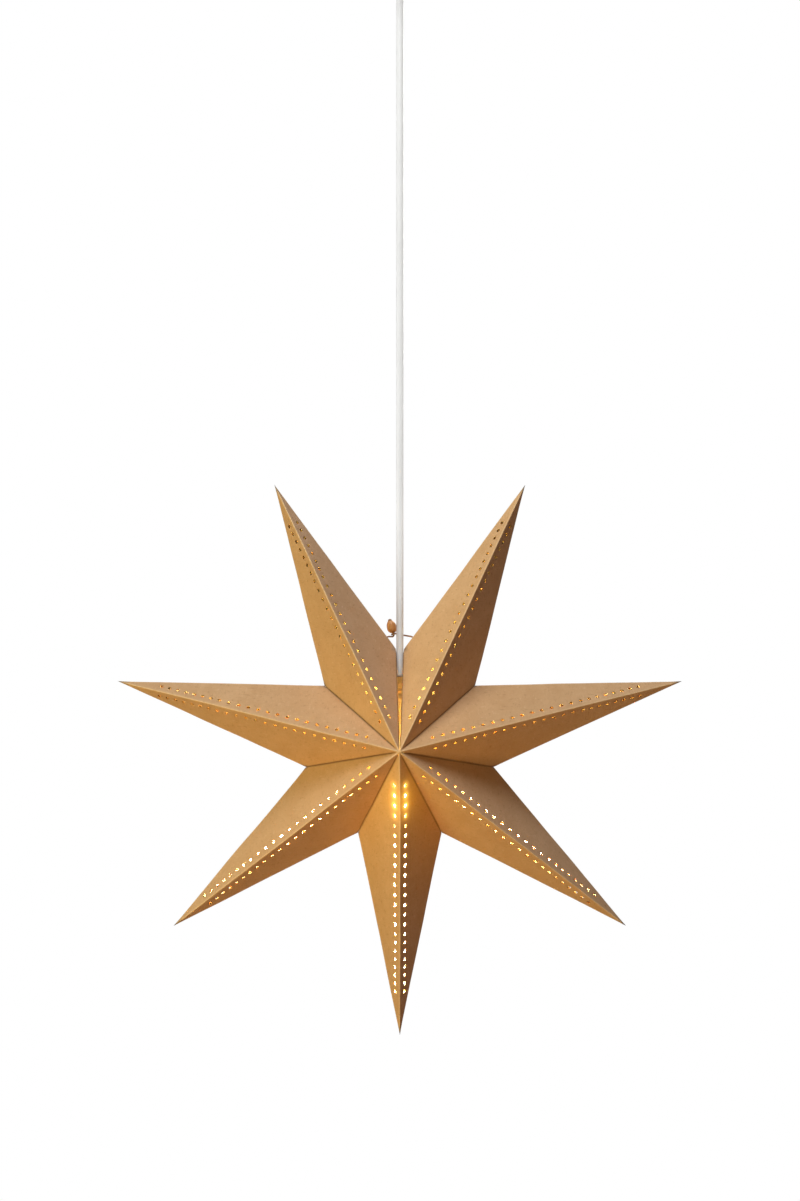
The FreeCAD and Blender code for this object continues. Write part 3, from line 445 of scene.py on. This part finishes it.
def facet_plan(ridge, corner, turns, start):
    """A flat facet as (points, triangles, folds, holes), with its first hole at start."""
    inside = Vector((ridge / 2, corner.y / 3))
    peak, tip = Vector((0, 0)), Vector((ridge, 0))
    folds = [
        Fold(peak, tip, inside, turns[0], RIDGE_ROUNDING),
        Fold(corner, tip, inside, turns[1], OUTLINE_ROUNDING),
        Fold(peak, corner, inside, turns[2], VALLEY_ROUNDING, FLAP_START),
    ]
    holes = hole_row(ridge, corner, start)
    points, edges = [peak, tip, corner], []
    fold_ends = ((0, 1), (2, 1), (0, 2))  # as numbers of points
    for fold, (fold_start, fold_end) in zip(folds, fold_ends):
        for row_number, row in enumerate(fold.rows()):
            first = len(points)
            points += row
            line = list(range(first, first + len(row)))
            if row_number == 0:
                line = [fold_start] + line + [fold_end]
            edges += zip(line, line[1:])
    for hole in holes:
        for ring in (HOLE_RADIUS, HOLE_RADIUS + HOLE_LIP):
            first = len(points)
            for i in range(HOLE_SIDES):
                turn = 2 * math.pi * i / HOLE_SIDES
                points.append(hole + Vector((math.cos(turn), math.sin(turn))) * ring)
            edges += [(first + i, first + (i + 1) % HOLE_SIDES) for i in range(HOLE_SIDES)]
    points += grid_points(ridge, corner, folds, holes)
    flat, _, faces, *_ = delaunay_2d_cdt(points, edges, [], CDT_INSIDE, CDT_SLACK)
    kept = []
    for face in faces:
        middle = sum((flat[i] for i in face), Vector((0, 0))) / len(face)
        if all((middle - hole).length > HOLE_RADIUS * HOLE_CUT for hole in holes):
            kept.append(face)
    return flat, kept, folds, holes


def grid_points(ridge, corner, folds, holes):
    """Points that fill a facet between its folds and holes."""
    made = []
    for j in range(1, int(corner.y / (GRID * GRID_SQUASH)) + 1):
        for i in range(int(ridge / GRID) + 1):
            point = Vector(((i + 0.5 * (j % 2)) * GRID, j * GRID * GRID_SQUASH))
            clear = all(fold.where(point)[1] > GRID_MARGIN for fold in folds)
            if clear and all(
                    (point - hole).length > HOLE_RADIUS + GRID_HOLE_MARGIN for hole in holes):
                made.append(point)
    return made


def falling(distance, reach):
    """1 at no distance, 0 from reach on, and smooth between."""
    share = max(0.0, 1 - max(0.0, distance) / reach)
    return share * share * (3 - 2 * share)


def swayed(point):
    """A point of the star moved by the card's slow unevenness."""
    moved = point.copy()
    for wavelength, size in SWAYS:
        moved += noise.noise_vector(point / wavelength) * size
    return moved


class Sheet:
    """The growing mesh of one arm's card, in the star's own frame."""

    def __init__(self, number):
        self.number = number
        self.tip = arm_tip(number)
        self.corners = (valley_corner(number - 1), valley_corner(number))
        self.inside = (self.tip + self.corners[0] + self.corners[1]) / 3
        self.points, self.faces = [], []
        self.marks = {"fold": [], "valley": [], "point": []}

    def add(self, point, fold, valley):
        self.points.append(point)
        self.marks["fold"].append(fold)
        self.marks["valley"].append(valley)
        self.marks["point"].append(falling((point - self.tip).length, POINT_SOIL))
        return len(self.points) - 1


def outward_normal(first, second, third, inside):
    """The unit normal of a plane through three points, away from inside."""
    normal = (second - first).cross(third - first).normalized()
    return normal if normal.dot(inside - first) < 0 else -normal


def add_facet(sheet, peak, side):
    """One perforated facet, with its folds rounded and its face a little bowed."""
    tip, corner = sheet.tip, sheet.corners[side]
    other = sheet.corners[1 - side]
    run = (tip - peak).normalized()
    across = ((corner - peak) - run * (corner - peak).dot(run)).normalized()
    normal = outward_normal(peak, tip, corner, sheet.inside)
    neighbours = (
        outward_normal(peak, tip, other, sheet.inside),
        outward_normal(-peak, tip, corner, sheet.inside),
        outward_normal(PEAKS[0], PEAKS[1], corner, sheet.inside),
    )
    turns = [normal.angle(neighbour) for neighbour in neighbours]
    ridge = (tip - peak).length
    flat_corner = Vector(((corner - peak).dot(run), (corner - peak).dot(across)))
    start = HOLE_START + (BACK_ROW_SHIFT if peak.y > 0 else 0)
    flat, faces, folds, holes = facet_plan(ridge, flat_corner, turns, start)
    own_place = corner * 40 + peak * 9 + tip * 3  # in the noise, another for each facet
    bow = BOW * noise.noise(own_place) * 2
    area = flat_corner.y * ridge
    numbers = []
    for point in flat:
        shift, sink = Vector((0, 0)), 0.0
        for fold in folds:
            slide, drop = fold.rounded(point)
            shift += fold.across * slide
            sink += drop
        weights = [fold.where(point)[1] * fold.length / area for fold in folds]
        sink += bow * WEIGHTS_PEAK * weights[0] * weights[1] * weights[2]
        to_holes = ((point - hole).length - HOLE_RADIUS for hole in holes)
        sink += HOLE_PRESS * falling(min(to_holes, default=PRESS_REACH), PRESS_REACH)
        moved = point + shift
        place = peak + run * moved.x + across * moved.y - normal * sink
        away = [max(0.0, fold.where(point)[1]) for fold in folds]
        # pale line by a ridge or outline, partly wear and partly a painted highlight
        worn_and_highlit = max(falling(away[0], RIDGE_WEAR_AND_HIGHLIGHT), OUTLINE_SHARE * falling(away[1], OUTLINE_WEAR_AND_HIGHLIGHT))
        # painted shade along the valley crease, kept off the peak
        valley_shade = falling(away[2], VALLEY_LINE) * (1 - falling(point.length, PEAK_CLEAR_OF_SHADE))
        numbers.append(sheet.add(place, worn_and_highlit, valley_shade))
    a, b, c = (sheet.points[numbers[i]] for i in faces[0])
    flip = (b - a).cross(c - a).dot(normal) < 0
    for face in faces:
        ring = [numbers[i] for i in face]
        sheet.faces.append(ring[::-1] if flip else ring)


def add_flap(sheet, peak, side):
    """The glued strip along one valley crease, folded inwards from its facet."""
    corner = sheet.corners[side]
    normal = outward_normal(PEAKS[0], PEAKS[1], corner, sheet.inside)
    facet_normal = outward_normal(peak, sheet.tip, corner, sheet.inside)
    flat_corner = Vector(((corner - peak).length, 0))
    fold = Fold(Vector((0, 0)), flat_corner, Vector((0, 1)), normal.angle(facet_normal),
                VALLEY_ROUNDING, FLAP_START)
    run = (corner - peak).normalized()
    inwards = (-peak - peak).cross(run).cross(run).normalized()
    if inwards.dot(-corner) < 0:
        inwards = -inwards
    columns = []
    for along in [s for s in fold.stations() if s >= fold.begin] + [fold.length]:
        edge, column = peak + run * along, []
        reach = fold.radius(along) * math.tan(fold.half_turn)
        for step in range(FOLD_ROWS + 1):
            flat = Vector((along, reach * step / FOLD_ROWS))
            slide, drop = fold.rounded(flat)
            place = edge + inwards * (flat.y + slide) - normal * drop
            # painted shade on the flap near its valley crease
            column.append(sheet.add(place, 0.0, falling(flat.y, FLAP_SHADE_REACH)))
        column.append(sheet.add(edge * WINDOW_SCALE, 0.0, 0.0))
        columns.append(column)
    a, b, c = (sheet.points[i] for i in (columns[0][-1], columns[1][-1], columns[0][-2]))
    flip = (b - a).cross(c - a).dot(normal) > 0
    for first, second in zip(columns, columns[1:]):
        for i in range(len(first) - 1):
            ring = [first[i], second[i], second[i + 1], first[i + 1]]
            sheet.faces.append(ring[::-1] if flip else ring)


def cleaned(points, faces, marks):
    """The same mesh with meeting points joined and empty faces dropped."""
    found, where, kept = {}, [], []
    for index, point in enumerate(points):
        key = tuple(round(value / JOIN) for value in point)
        for shift in NEARBY:
            near = found.get(tuple(k + s for k, s in zip(key, shift)))
            if near is not None:
                break
        if near is None:
            near = found[key] = len(kept)
            kept.append(index)
        where.append(near)
    rings = []
    for face in faces:
        ring = []
        for index in face:
            if where[index] not in ring:
                ring.append(where[index])
        if len(ring) > 2:
            rings.append(ring)
    return [points[i] for i in kept], rings, {k: [v[i] for i in kept] for k, v in marks.items()}


def kept_off(point, sheet):
    """The point moved off its valley planes, and off the cord in the seam."""
    for corner in sheet.corners:
        normal = outward_normal(PEAKS[0], PEAKS[1], corner, sheet.inside)
        room = -(point - corner).dot(normal)
        if room < SLACK_DEPTH:
            slack = VALLEY_SLACK * (1 - max(room, 0) / SLACK_DEPTH)
            near = min((point - peak).length for peak in PEAKS) / SLACK_REACH
            point = point - normal * slack * min(1.0, near)
    clear = CORD_RADIUS + CORD_ROOM
    if sheet.number in (1, ARM_COUNT) and point.z > 0 and math.hypot(point.x, point.y) < clear:
        side = 1 if sheet.number == 1 else -1
        point.x = side * math.sqrt(clear**2 - point.y**2)
    return point


def thickness(point, sheet):
    """The card's thickness, thinner where the folds close to a point."""
    ends = ((sheet.tip, TIP_TAPER), (PEAKS[0], PEAK_TAPER), (PEAKS[1], PEAK_TAPER))
    near = min((point - end).length / taper for end, taper in ends)
    return CARD * max(THINNEST, min(1.0, near))


def card_arm(number, materials):
    """One arm's folded sheet of card, as a closed mesh with a real thickness."""
    sheet = Sheet(number)
    for peak in PEAKS:
        for side in (0, 1):
            add_facet(sheet, peak, side)
            add_flap(sheet, peak, side)
    points, faces, marks = cleaned(sheet.points, sheet.faces, sheet.marks)
    points = [swayed(kept_off(point, sheet)) for point in points]
    outer = bpy.data.meshes.new("card")
    outer.from_pydata(points, [], faces)
    inner = [point - Vector(normal.vector) * thickness(point, sheet)
             for point, normal in zip(points, outer.vertex_normals)]
    bpy.data.meshes.remove(outer)
    count = len(points)
    # a dict keeps the sides in order, so that the rim is the same each run
    sides = dict.fromkeys((a, b) for face in faces for a, b in zip(face, face[1:] + face[:1]))
    rim = [(b, a, a + count, b + count) for a, b in sides if (b, a) not in sides]
    back = [tuple(i + count for i in reversed(face)) for face in faces]
    mesh = bpy.data.meshes.new(f"card_arm_{number}")
    mesh.from_pydata([STAR_CENTRE + point for point in points + inner], [], faces + back + rim)
    surfaces = [0] * len(faces) + [1] * len(back) + [2] * len(rim)  # outside, inside and edge
    mesh.polygons.foreach_set("material_index", surfaces)
    for material in materials:
        mesh.materials.append(material)
    for name, values in marks.items():
        mesh.attributes.new(name, "FLOAT", "POINT").data.foreach_set("value", values * 2)
    mesh.shade_smooth()
    mesh.set_sharp_from_angle(angle=SHARP_CARD)
    mesh.validate()
    arm = placed(f"card_arm_{number}", mesh)
    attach(arm, "star")
    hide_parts(f"star_arm_{number}")
    return arm


def bright_holes():
    """(place, share of the painted glare) of the holes right in front of the bulb."""
    tip, peak, found = arm_tip(DOWN_ARM), PEAKS[0], []
    run = (tip - peak).normalized()
    for side in (DOWN_ARM - 1, DOWN_ARM):
        reach = valley_corner(side) - peak
        across = (reach - run * reach.dot(run)).normalized()
        row = hole_row((tip - peak).length, Vector((reach.dot(run), reach.dot(across))))
        for hole, share in zip(row, HALO_SHARES):
            found.append((STAR_CENTRE + peak + run * hole.x + across * hole.y, share))
    return found


# ---------- cord ----------

CORD_POINTS = (-75.9, -110.0, -633.0, -667.5)  # heights in millimetres, straight down the axis
CORD_SIDES = 6  # the bevel's resolution
CORD_STEPS = 24


def flex_cord(material):
    """The free cord, drawn straight by the lamp's weight."""
    curve = bpy.data.curves.new("mains_cord", "CURVE")
    curve.dimensions = "3D"
    curve.bevel_depth = CORD_RADIUS
    curve.bevel_resolution = CORD_SIDES
    curve.use_fill_caps = True
    curve.resolution_u = CORD_STEPS
    spline = curve.splines.new("NURBS")
    spline.points.add(len(CORD_POINTS) - 1)
    for point, height in zip(spline.points, CORD_POINTS):
        point.co = (0, 0, height * MM, 1)
    spline.order_u = 3
    spline.use_endpoint_u = True
    curve.materials.append(material)
    cord = placed("mains_cord", curve)
    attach(cord, "pendant")
    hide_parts("flex_cord")
    return cord


# ---------- plain finishes for the small parts ----------

def moulded(name, colour, rough=0.42, scale=900, coat=0.0):
    """Moulded plastic with a fine grain and slightly uneven gloss."""
    finish = Finish(name)
    tone = finish.range(finish.noise(35, 2), 0.3, 0.7)
    darker = tuple(value * 0.90 for value in colour)
    finish.feed({
        "base_color": finish.mix(tone, colour, darker), "coat_weight": coat,
        "roughness": finish.range(finish.noise(160, 3), 0.3, 0.7, rough - 0.07, rough + 0.10),
        "normal": finish.bump(finish.noise(scale, 2), 0.02 * MM, 0.5)})
    return finish.material


def metal(name, colour, rough=0.30, brush=(60, 60, 1600)):
    """Drawn or plated metal with fine drawing marks."""
    finish = Finish(name)
    lines = finish.noise(1.0, 3, 0.6, finish.scaled(brush))
    tone = finish.range(finish.noise(120, 3), 0.3, 0.7)
    darker = tuple(value * 0.78 for value in colour)
    finish.feed({
        "base_color": finish.mix(tone, colour, darker), "metallic": 1.0,
        "roughness": finish.range(lines, 0.3, 0.7, rough - 0.08, rough + 0.14),
        "normal": finish.bump(lines, 0.012 * MM, 0.4)})
    return finish.material


def clear_glass():
    """The bulb's glass. Lamps shine through it."""
    finish = Finish("clear_glass")
    finish.feed({"base_color": (1.0, 0.985, 0.95), "roughness": 0.0, "ior": 1.45,
                 "transmission_weight": 1.0})
    finish.see_through(finish.node("LightPath").outputs["Is Shadow Ray"], (0.96, 0.95, 0.92))
    return finish.material


def light_stick():
    """A lit filament: small bright dots under a yellow coat."""
    finish = Finish("light_stick")
    dots = finish.node("TexVoronoi", {"Vector": finish.place(), "Scale": 900.0})
    bright = finish.range(dots.outputs["Distance"], 0.0, 0.7, 46.0, 26.0)
    finish.feed({"base_color": (0.85, 0.55, 0.12), "roughness": 0.5,
                 "emission_color": (1.0, 0.62, 0.24), "emission_strength": bright})
    return finish.material


def wood():
    """Turned, oiled wood with rings and pores."""
    finish = Finish("bead_wood")
    rings = finish.noise(0.55, 5, 0.6, finish.scaled((900, 900, 110)))
    pores = finish.noise(2.6, 3, 0.7, finish.scaled((700, 700, 90)))
    base = finish.mix(finish.range(rings, 0.32, 0.68), (0.66, 0.30, 0.085), (0.36, 0.135, 0.030))
    base = finish.mix(finish.range(pores, 0.60, 0.76, 0.0, 0.6), base, (0.14, 0.05, 0.012))
    finish.feed({"base_color": base, "roughness": finish.range(pores, 0.3, 0.7, 0.34, 0.55),
                 "coat_weight": 0.25, "coat_roughness": 0.3,
                 "normal": finish.bump(pores, 0.08 * MM, 0.5)})
    return finish.material


def yarn():
    """Waxed cotton string."""
    finish = Finish("string_yarn")
    hairs = finish.noise(1.0, 3, 0.65, finish.scaled((2600, 2600, 900)))
    base = finish.mix(finish.range(hairs, 0.35, 0.65), (0.42, 0.215, 0.105), (0.20, 0.085, 0.036))
    finish.feed({"base_color": base, "roughness": 0.85, "sheen_weight": 0.25,
                 "normal": finish.bump(hairs, 0.10 * MM, 0.7)})
    return finish.material


def cord_sheath():
    """White PVC sheath: smooth, with a faint draw line and tone."""
    finish = Finish("white_pvc")
    tone = finish.range(finish.noise(18, 2), 0.3, 0.7)
    lines = finish.noise(1.0, 2, 0.5, finish.scaled((1300, 1300, 12)))
    finish.feed({
        "base_color": finish.mix(tone, (0.80, 0.805, 0.79), (0.75, 0.755, 0.74)),
        "roughness": finish.range(lines, 0.3, 0.7, 0.36, 0.50),
        "normal": finish.bump(lines, 0.010 * MM, 0.3)})
    return finish.material


def small_parts(cord_material):
    """Gives every CAD node that is shown as it is the finish of its slot."""
    finishes = {
        "zinc_steel": metal("zinc_steel", (0.62, 0.63, 0.64), 0.36),
        "white_cup": moulded("white_cup", (0.84, 0.84, 0.82), 0.34, 500),
        "white_plastic": moulded("white_plastic", (0.80, 0.79, 0.76)),
        "clear_nylon": moulded("clear_nylon", (0.74, 0.73, 0.69), 0.30),
        "white_pvc": cord_material,
        "terminal_plastic": moulded("terminal_plastic", (0.70, 0.69, 0.64), 0.38),
        "brass": metal("brass", (0.80, 0.55, 0.24)),
        "brown_insulation": moulded("brown_insulation", (0.16, 0.055, 0.020), 0.38),
        "blue_insulation": moulded("blue_insulation", (0.025, 0.13, 0.46), 0.38),
        "white_ceramic": moulded("white_ceramic", (0.82, 0.80, 0.74), 0.24, 300, 0.4),
        "nickel": metal("nickel", (0.74, 0.71, 0.66), 0.24),
        "dark_glass": moulded("dark_glass", (0.018, 0.017, 0.022), 0.10, 300, 0.8),
        "solder": metal("solder", (0.56, 0.56, 0.55), 0.34, (300, 300, 300)),
        "clear_glass": clear_glass(),
        "light_stick": light_stick(),
        "lead_wire": metal("lead_wire", (0.66, 0.64, 0.60), 0.26),
        "circuit_board": moulded("circuit_board", (0.030, 0.16, 0.060), 0.34, 700, 0.3),
        "brown_string": yarn(),
    }
    for subpart in frame["record"]["subparts"]:
        node = frame["nodes"][subpart["node"]]
        finish = finishes.get(subpart["material_slot"])
        if finish:
            for place in node.material_slots:
                place.material = finish


# ---------- the tie's bead ----------

BEAD_AXIS = Vector((-0.28, 0.05, 1.0)).normalized()
BEAD_BORE = 0.8 * MM
BEAD_BELOW, BEAD_ABOVE = 4.2 * MM, 6.6 * MM  # its middle to its ends, longer towards its knot
BEAD_BLUNTNESS = 0.9  # 1 is an ellipse
BEAD_ROWS, BEAD_SIDES = 22, 40
SHARP_BEAD = math.radians(50)


def turned_bead(material):
    """The tie's egg-shaped wooden bead, turned, with its bore."""
    low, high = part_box("tie_bead")
    middle, radius = (low + high) / 2, (high.x - low.x) / 2
    side = BEAD_AXIS.orthogonal().normalized()
    other = BEAD_AXIS.cross(side)
    profile = []
    for row in range(BEAD_ROWS + 1):
        angle = math.pi * row / BEAD_ROWS
        end = BEAD_ABOVE if angle > math.pi / 2 else BEAD_BELOW
        away = max(BEAD_BORE, radius * math.sin(angle) ** BEAD_BLUNTNESS)
        profile.append((-math.cos(angle) * end, away))
    points, faces = [], []
    for along, away in profile:
        for turn in range(BEAD_SIDES):
            angle = 2 * math.pi * turn / BEAD_SIDES
            spoke = side * math.cos(angle) + other * math.sin(angle)
            points.append(middle + BEAD_AXIS * along + spoke * away)
    rows = len(profile)
    for row in range(rows):
        row_after = (row + 1) % rows  # the last row closes the bore
        for turn in range(BEAD_SIDES):
            after = (turn + 1) % BEAD_SIDES
            faces.append([row * BEAD_SIDES + turn, row * BEAD_SIDES + after,
                          row_after * BEAD_SIDES + after, row_after * BEAD_SIDES + turn])
    mesh = bpy.data.meshes.new("turned_bead")
    mesh.from_pydata(points, [], faces)
    mesh.materials.append(material)
    mesh.shade_smooth()
    mesh.set_sharp_from_angle(angle=SHARP_BEAD)
    bead = placed("turned_bead", mesh)
    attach(bead, "star")
    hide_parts("tie_bead")
    return bead


# ---------- light, floor and world ----------

WHITE_LEVEL = math.pi**2  # power, at one metre, that makes a white face toward a lamp read 1
SOFTBOX_SIZE = 0.9
SOFTBOX_DISTANCE = 1.7
WHITE = (1.0, 1.0, 1.0)


def softbox(name, angle, tilt, level, colour, things):
    """A soft lamp that lights those things alone.

    angle is its place round the star as the camera sees it, and tilt is towards the camera.
    """
    angle, tilt = math.radians(angle), math.radians(tilt)
    flat = math.cos(tilt)
    way = Vector((flat * math.cos(angle), -math.sin(tilt), flat * math.sin(angle)))
    data = bpy.data.lights.new(name, "AREA")
    data.shape = "DISK"
    data.size = SOFTBOX_SIZE
    data.color = colour
    data.energy = level * WHITE_LEVEL * SOFTBOX_DISTANCE**2
    lamp = placed(name, data)
    lamp.location = STAR_CENTRE + way * SOFTBOX_DISTANCE
    lamp.rotation_euler = way.to_track_quat("Z", "Y").to_euler()
    lamp.visible_camera = False
    group = bpy.data.collections.new(name + "_lights")
    for thing in things:
        group.objects.link(thing)
    lamp.light_linking.receiver_collection = group


BULB_LAMPS = (  # (kind, power, colour, turn from straight down, body)
    ("POINT", 4.4, (0.90, 1.0, 0.40), 0, "bulb"),
    ("SPOT", 10.0, (0.95, 1.0, 0.55), 0, "bulb"),
    ("SPOT", 80.0, (0.93, 1.0, 0.62), 1, "star"),
    ("SPOT", 130.0, (0.93, 1.0, 0.70), -1, "star"),
)
SIDE_SPREAD = math.radians(150)  # across the light into a lower side arm
DOWN_SPREAD = math.radians(178)
BULB_SOURCE_RADIUS = 9 * MM


def bulb_light():
    """The light that the lit sticks give, all round and into the three lower arms."""
    for number, (kind, energy, colour, turn, body) in enumerate(BULB_LAMPS):
        data = bpy.data.lights.new(f"bulb_light_{number}", kind)
        data.shadow_soft_size = BULB_SOURCE_RADIUS
        data.color = colour
        data.energy = energy
        if kind == "SPOT":
            data.spot_size, data.spot_blend = SIDE_SPREAD if turn else DOWN_SPREAD, 1.0
        lamp = placed(data.name, data)
        lamp.location = GLOBE
        lamp.rotation_euler = (0, -turn * STEP, 0)
        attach(lamp, body)


ROOM_COLOUR = (1.0, 0.70, 0.45)
ROOM_STRENGTH = 0.05


def make_world():
    """White behind the object, and a dim warm light from all round."""
    world = bpy.data.worlds.new("studio")
    world.use_nodes = True
    tree = world.node_tree
    tree.nodes.clear()
    path = tree.nodes.new("ShaderNodeLightPath")
    seen = path.outputs["Is Camera Ray"]
    for kind in ("Is Glossy Ray", "Is Transmission Ray"):
        either = tree.nodes.new("ShaderNodeMath")
        either.operation = "MAXIMUM"
        tree.links.new(seen, either.inputs[0])
        tree.links.new(path.outputs[kind], either.inputs[1])
        seen = either.outputs[0]
    dim, white = tree.nodes.new("ShaderNodeBackground"), tree.nodes.new("ShaderNodeBackground")
    dim.inputs["Color"].default_value = (*ROOM_COLOUR, 1)
    dim.inputs["Strength"].default_value = ROOM_STRENGTH
    white.inputs["Color"].default_value = (*WHITE, 1)
    both = tree.nodes.new("ShaderNodeMixShader")
    tree.links.new(seen, both.inputs[0])
    tree.links.new(dim.outputs[0], both.inputs[1])
    tree.links.new(white.outputs[0], both.inputs[2])
    output = tree.nodes.new("ShaderNodeOutputWorld")
    tree.links.new(both.outputs[0], output.inputs["Surface"])
    bpy.context.scene.world = world


FLOOR_Z = -3.0
FLOOR_SIZE = 1.6  # radius
FLOOR_FADE = 0.55  # share of its radius where it starts to fade
FLOOR_SIDES = 64
FLOOR_GLOW = 0.35  # so that the far floor looks as pale as the room behind


def make_floor():
    """A pale round floor far below, which fades into the white at its rim."""
    finish = Finish("floor")
    grain = finish.range(finish.noise(3.0, 3), 0.3, 0.7)
    seen = finish.maths("MULTIPLY", finish.node("LightPath").outputs["Is Camera Ray"], FLOOR_GLOW)
    finish.feed({"base_color": finish.mix(grain, (0.88, 0.88, 0.87), (0.85, 0.85, 0.84)),
                 "roughness": 0.8, "emission_color": (1.0, 1.0, 0.99), "emission_strength": seen})
    away = finish.node("VectorMath", {0: finish.place()}, operation="LENGTH").outputs["Value"]
    finish.see_through(finish.range(away, FLOOR_SIZE * FLOOR_FADE, FLOOR_SIZE))
    turns = [2 * math.pi * i / FLOOR_SIDES for i in range(FLOOR_SIDES)]
    corners = [Vector((math.cos(turn), math.sin(turn), 0)) * FLOOR_SIZE for turn in turns]
    mesh = bpy.data.meshes.new("floor")
    mesh.from_pydata(corners, [], [tuple(range(FLOOR_SIDES))])
    mesh.materials.append(finish.material)
    floor = placed("floor", mesh)
    floor.location.z = FLOOR_Z
    return floor


# ---------- everything ----------

bpy.context.scene.view_settings.view_transform = "Standard"
noise.seed_set(SWAY_SEED)
make_camera()
sheath = cord_sheath()
cord = flex_cord(sheath)
inside, edge = kraft_inside(), kraft_edge()
plain_card, lit_card = kraft_outside(), kraft_outside(bright_holes())
card = [card_arm(number, [lit_card if number == DOWN_ARM else plain_card, inside, edge])
        for number in range(1, ARM_COUNT + 1)]
small_parts(sheath)
bead = turned_bead(wood())
bulb_light()
make_world()
floor = make_floor()
tie = [bead, frame["nodes"]["tie_string"], frame["nodes"]["tie_loop"]]
ceiling_parts = [part for part in frame["nodes"].values() if part["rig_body"] == "ceiling"]
white_parts = [cord] + ceiling_parts
outside = card + tie + white_parts + [floor]  # all but what the closed star hides
softbox("top", 95, 25, 0.61, (0.96, 0.98, 1.0), outside)
softbox("warm_left", 183, 48, 0.56, (1.0, 0.93, 0.40), card + tie)
softbox("warm_low", 250, 45, 0.24, (1.0, 0.40, 0.08), card + tie)
softbox("left", 180, 20, 0.62, WHITE, white_parts)
softbox("right", 0, 20, 0.42, WHITE, white_parts)
softbox("front", 270, 75, 0.34, WHITE, white_parts)
softbox("back", 70, -58, 0.66, (1.0, 0.98, 0.92), outside)
softbox("back_low", 250, -66, 0.22, (1.0, 0.95, 0.85), outside)
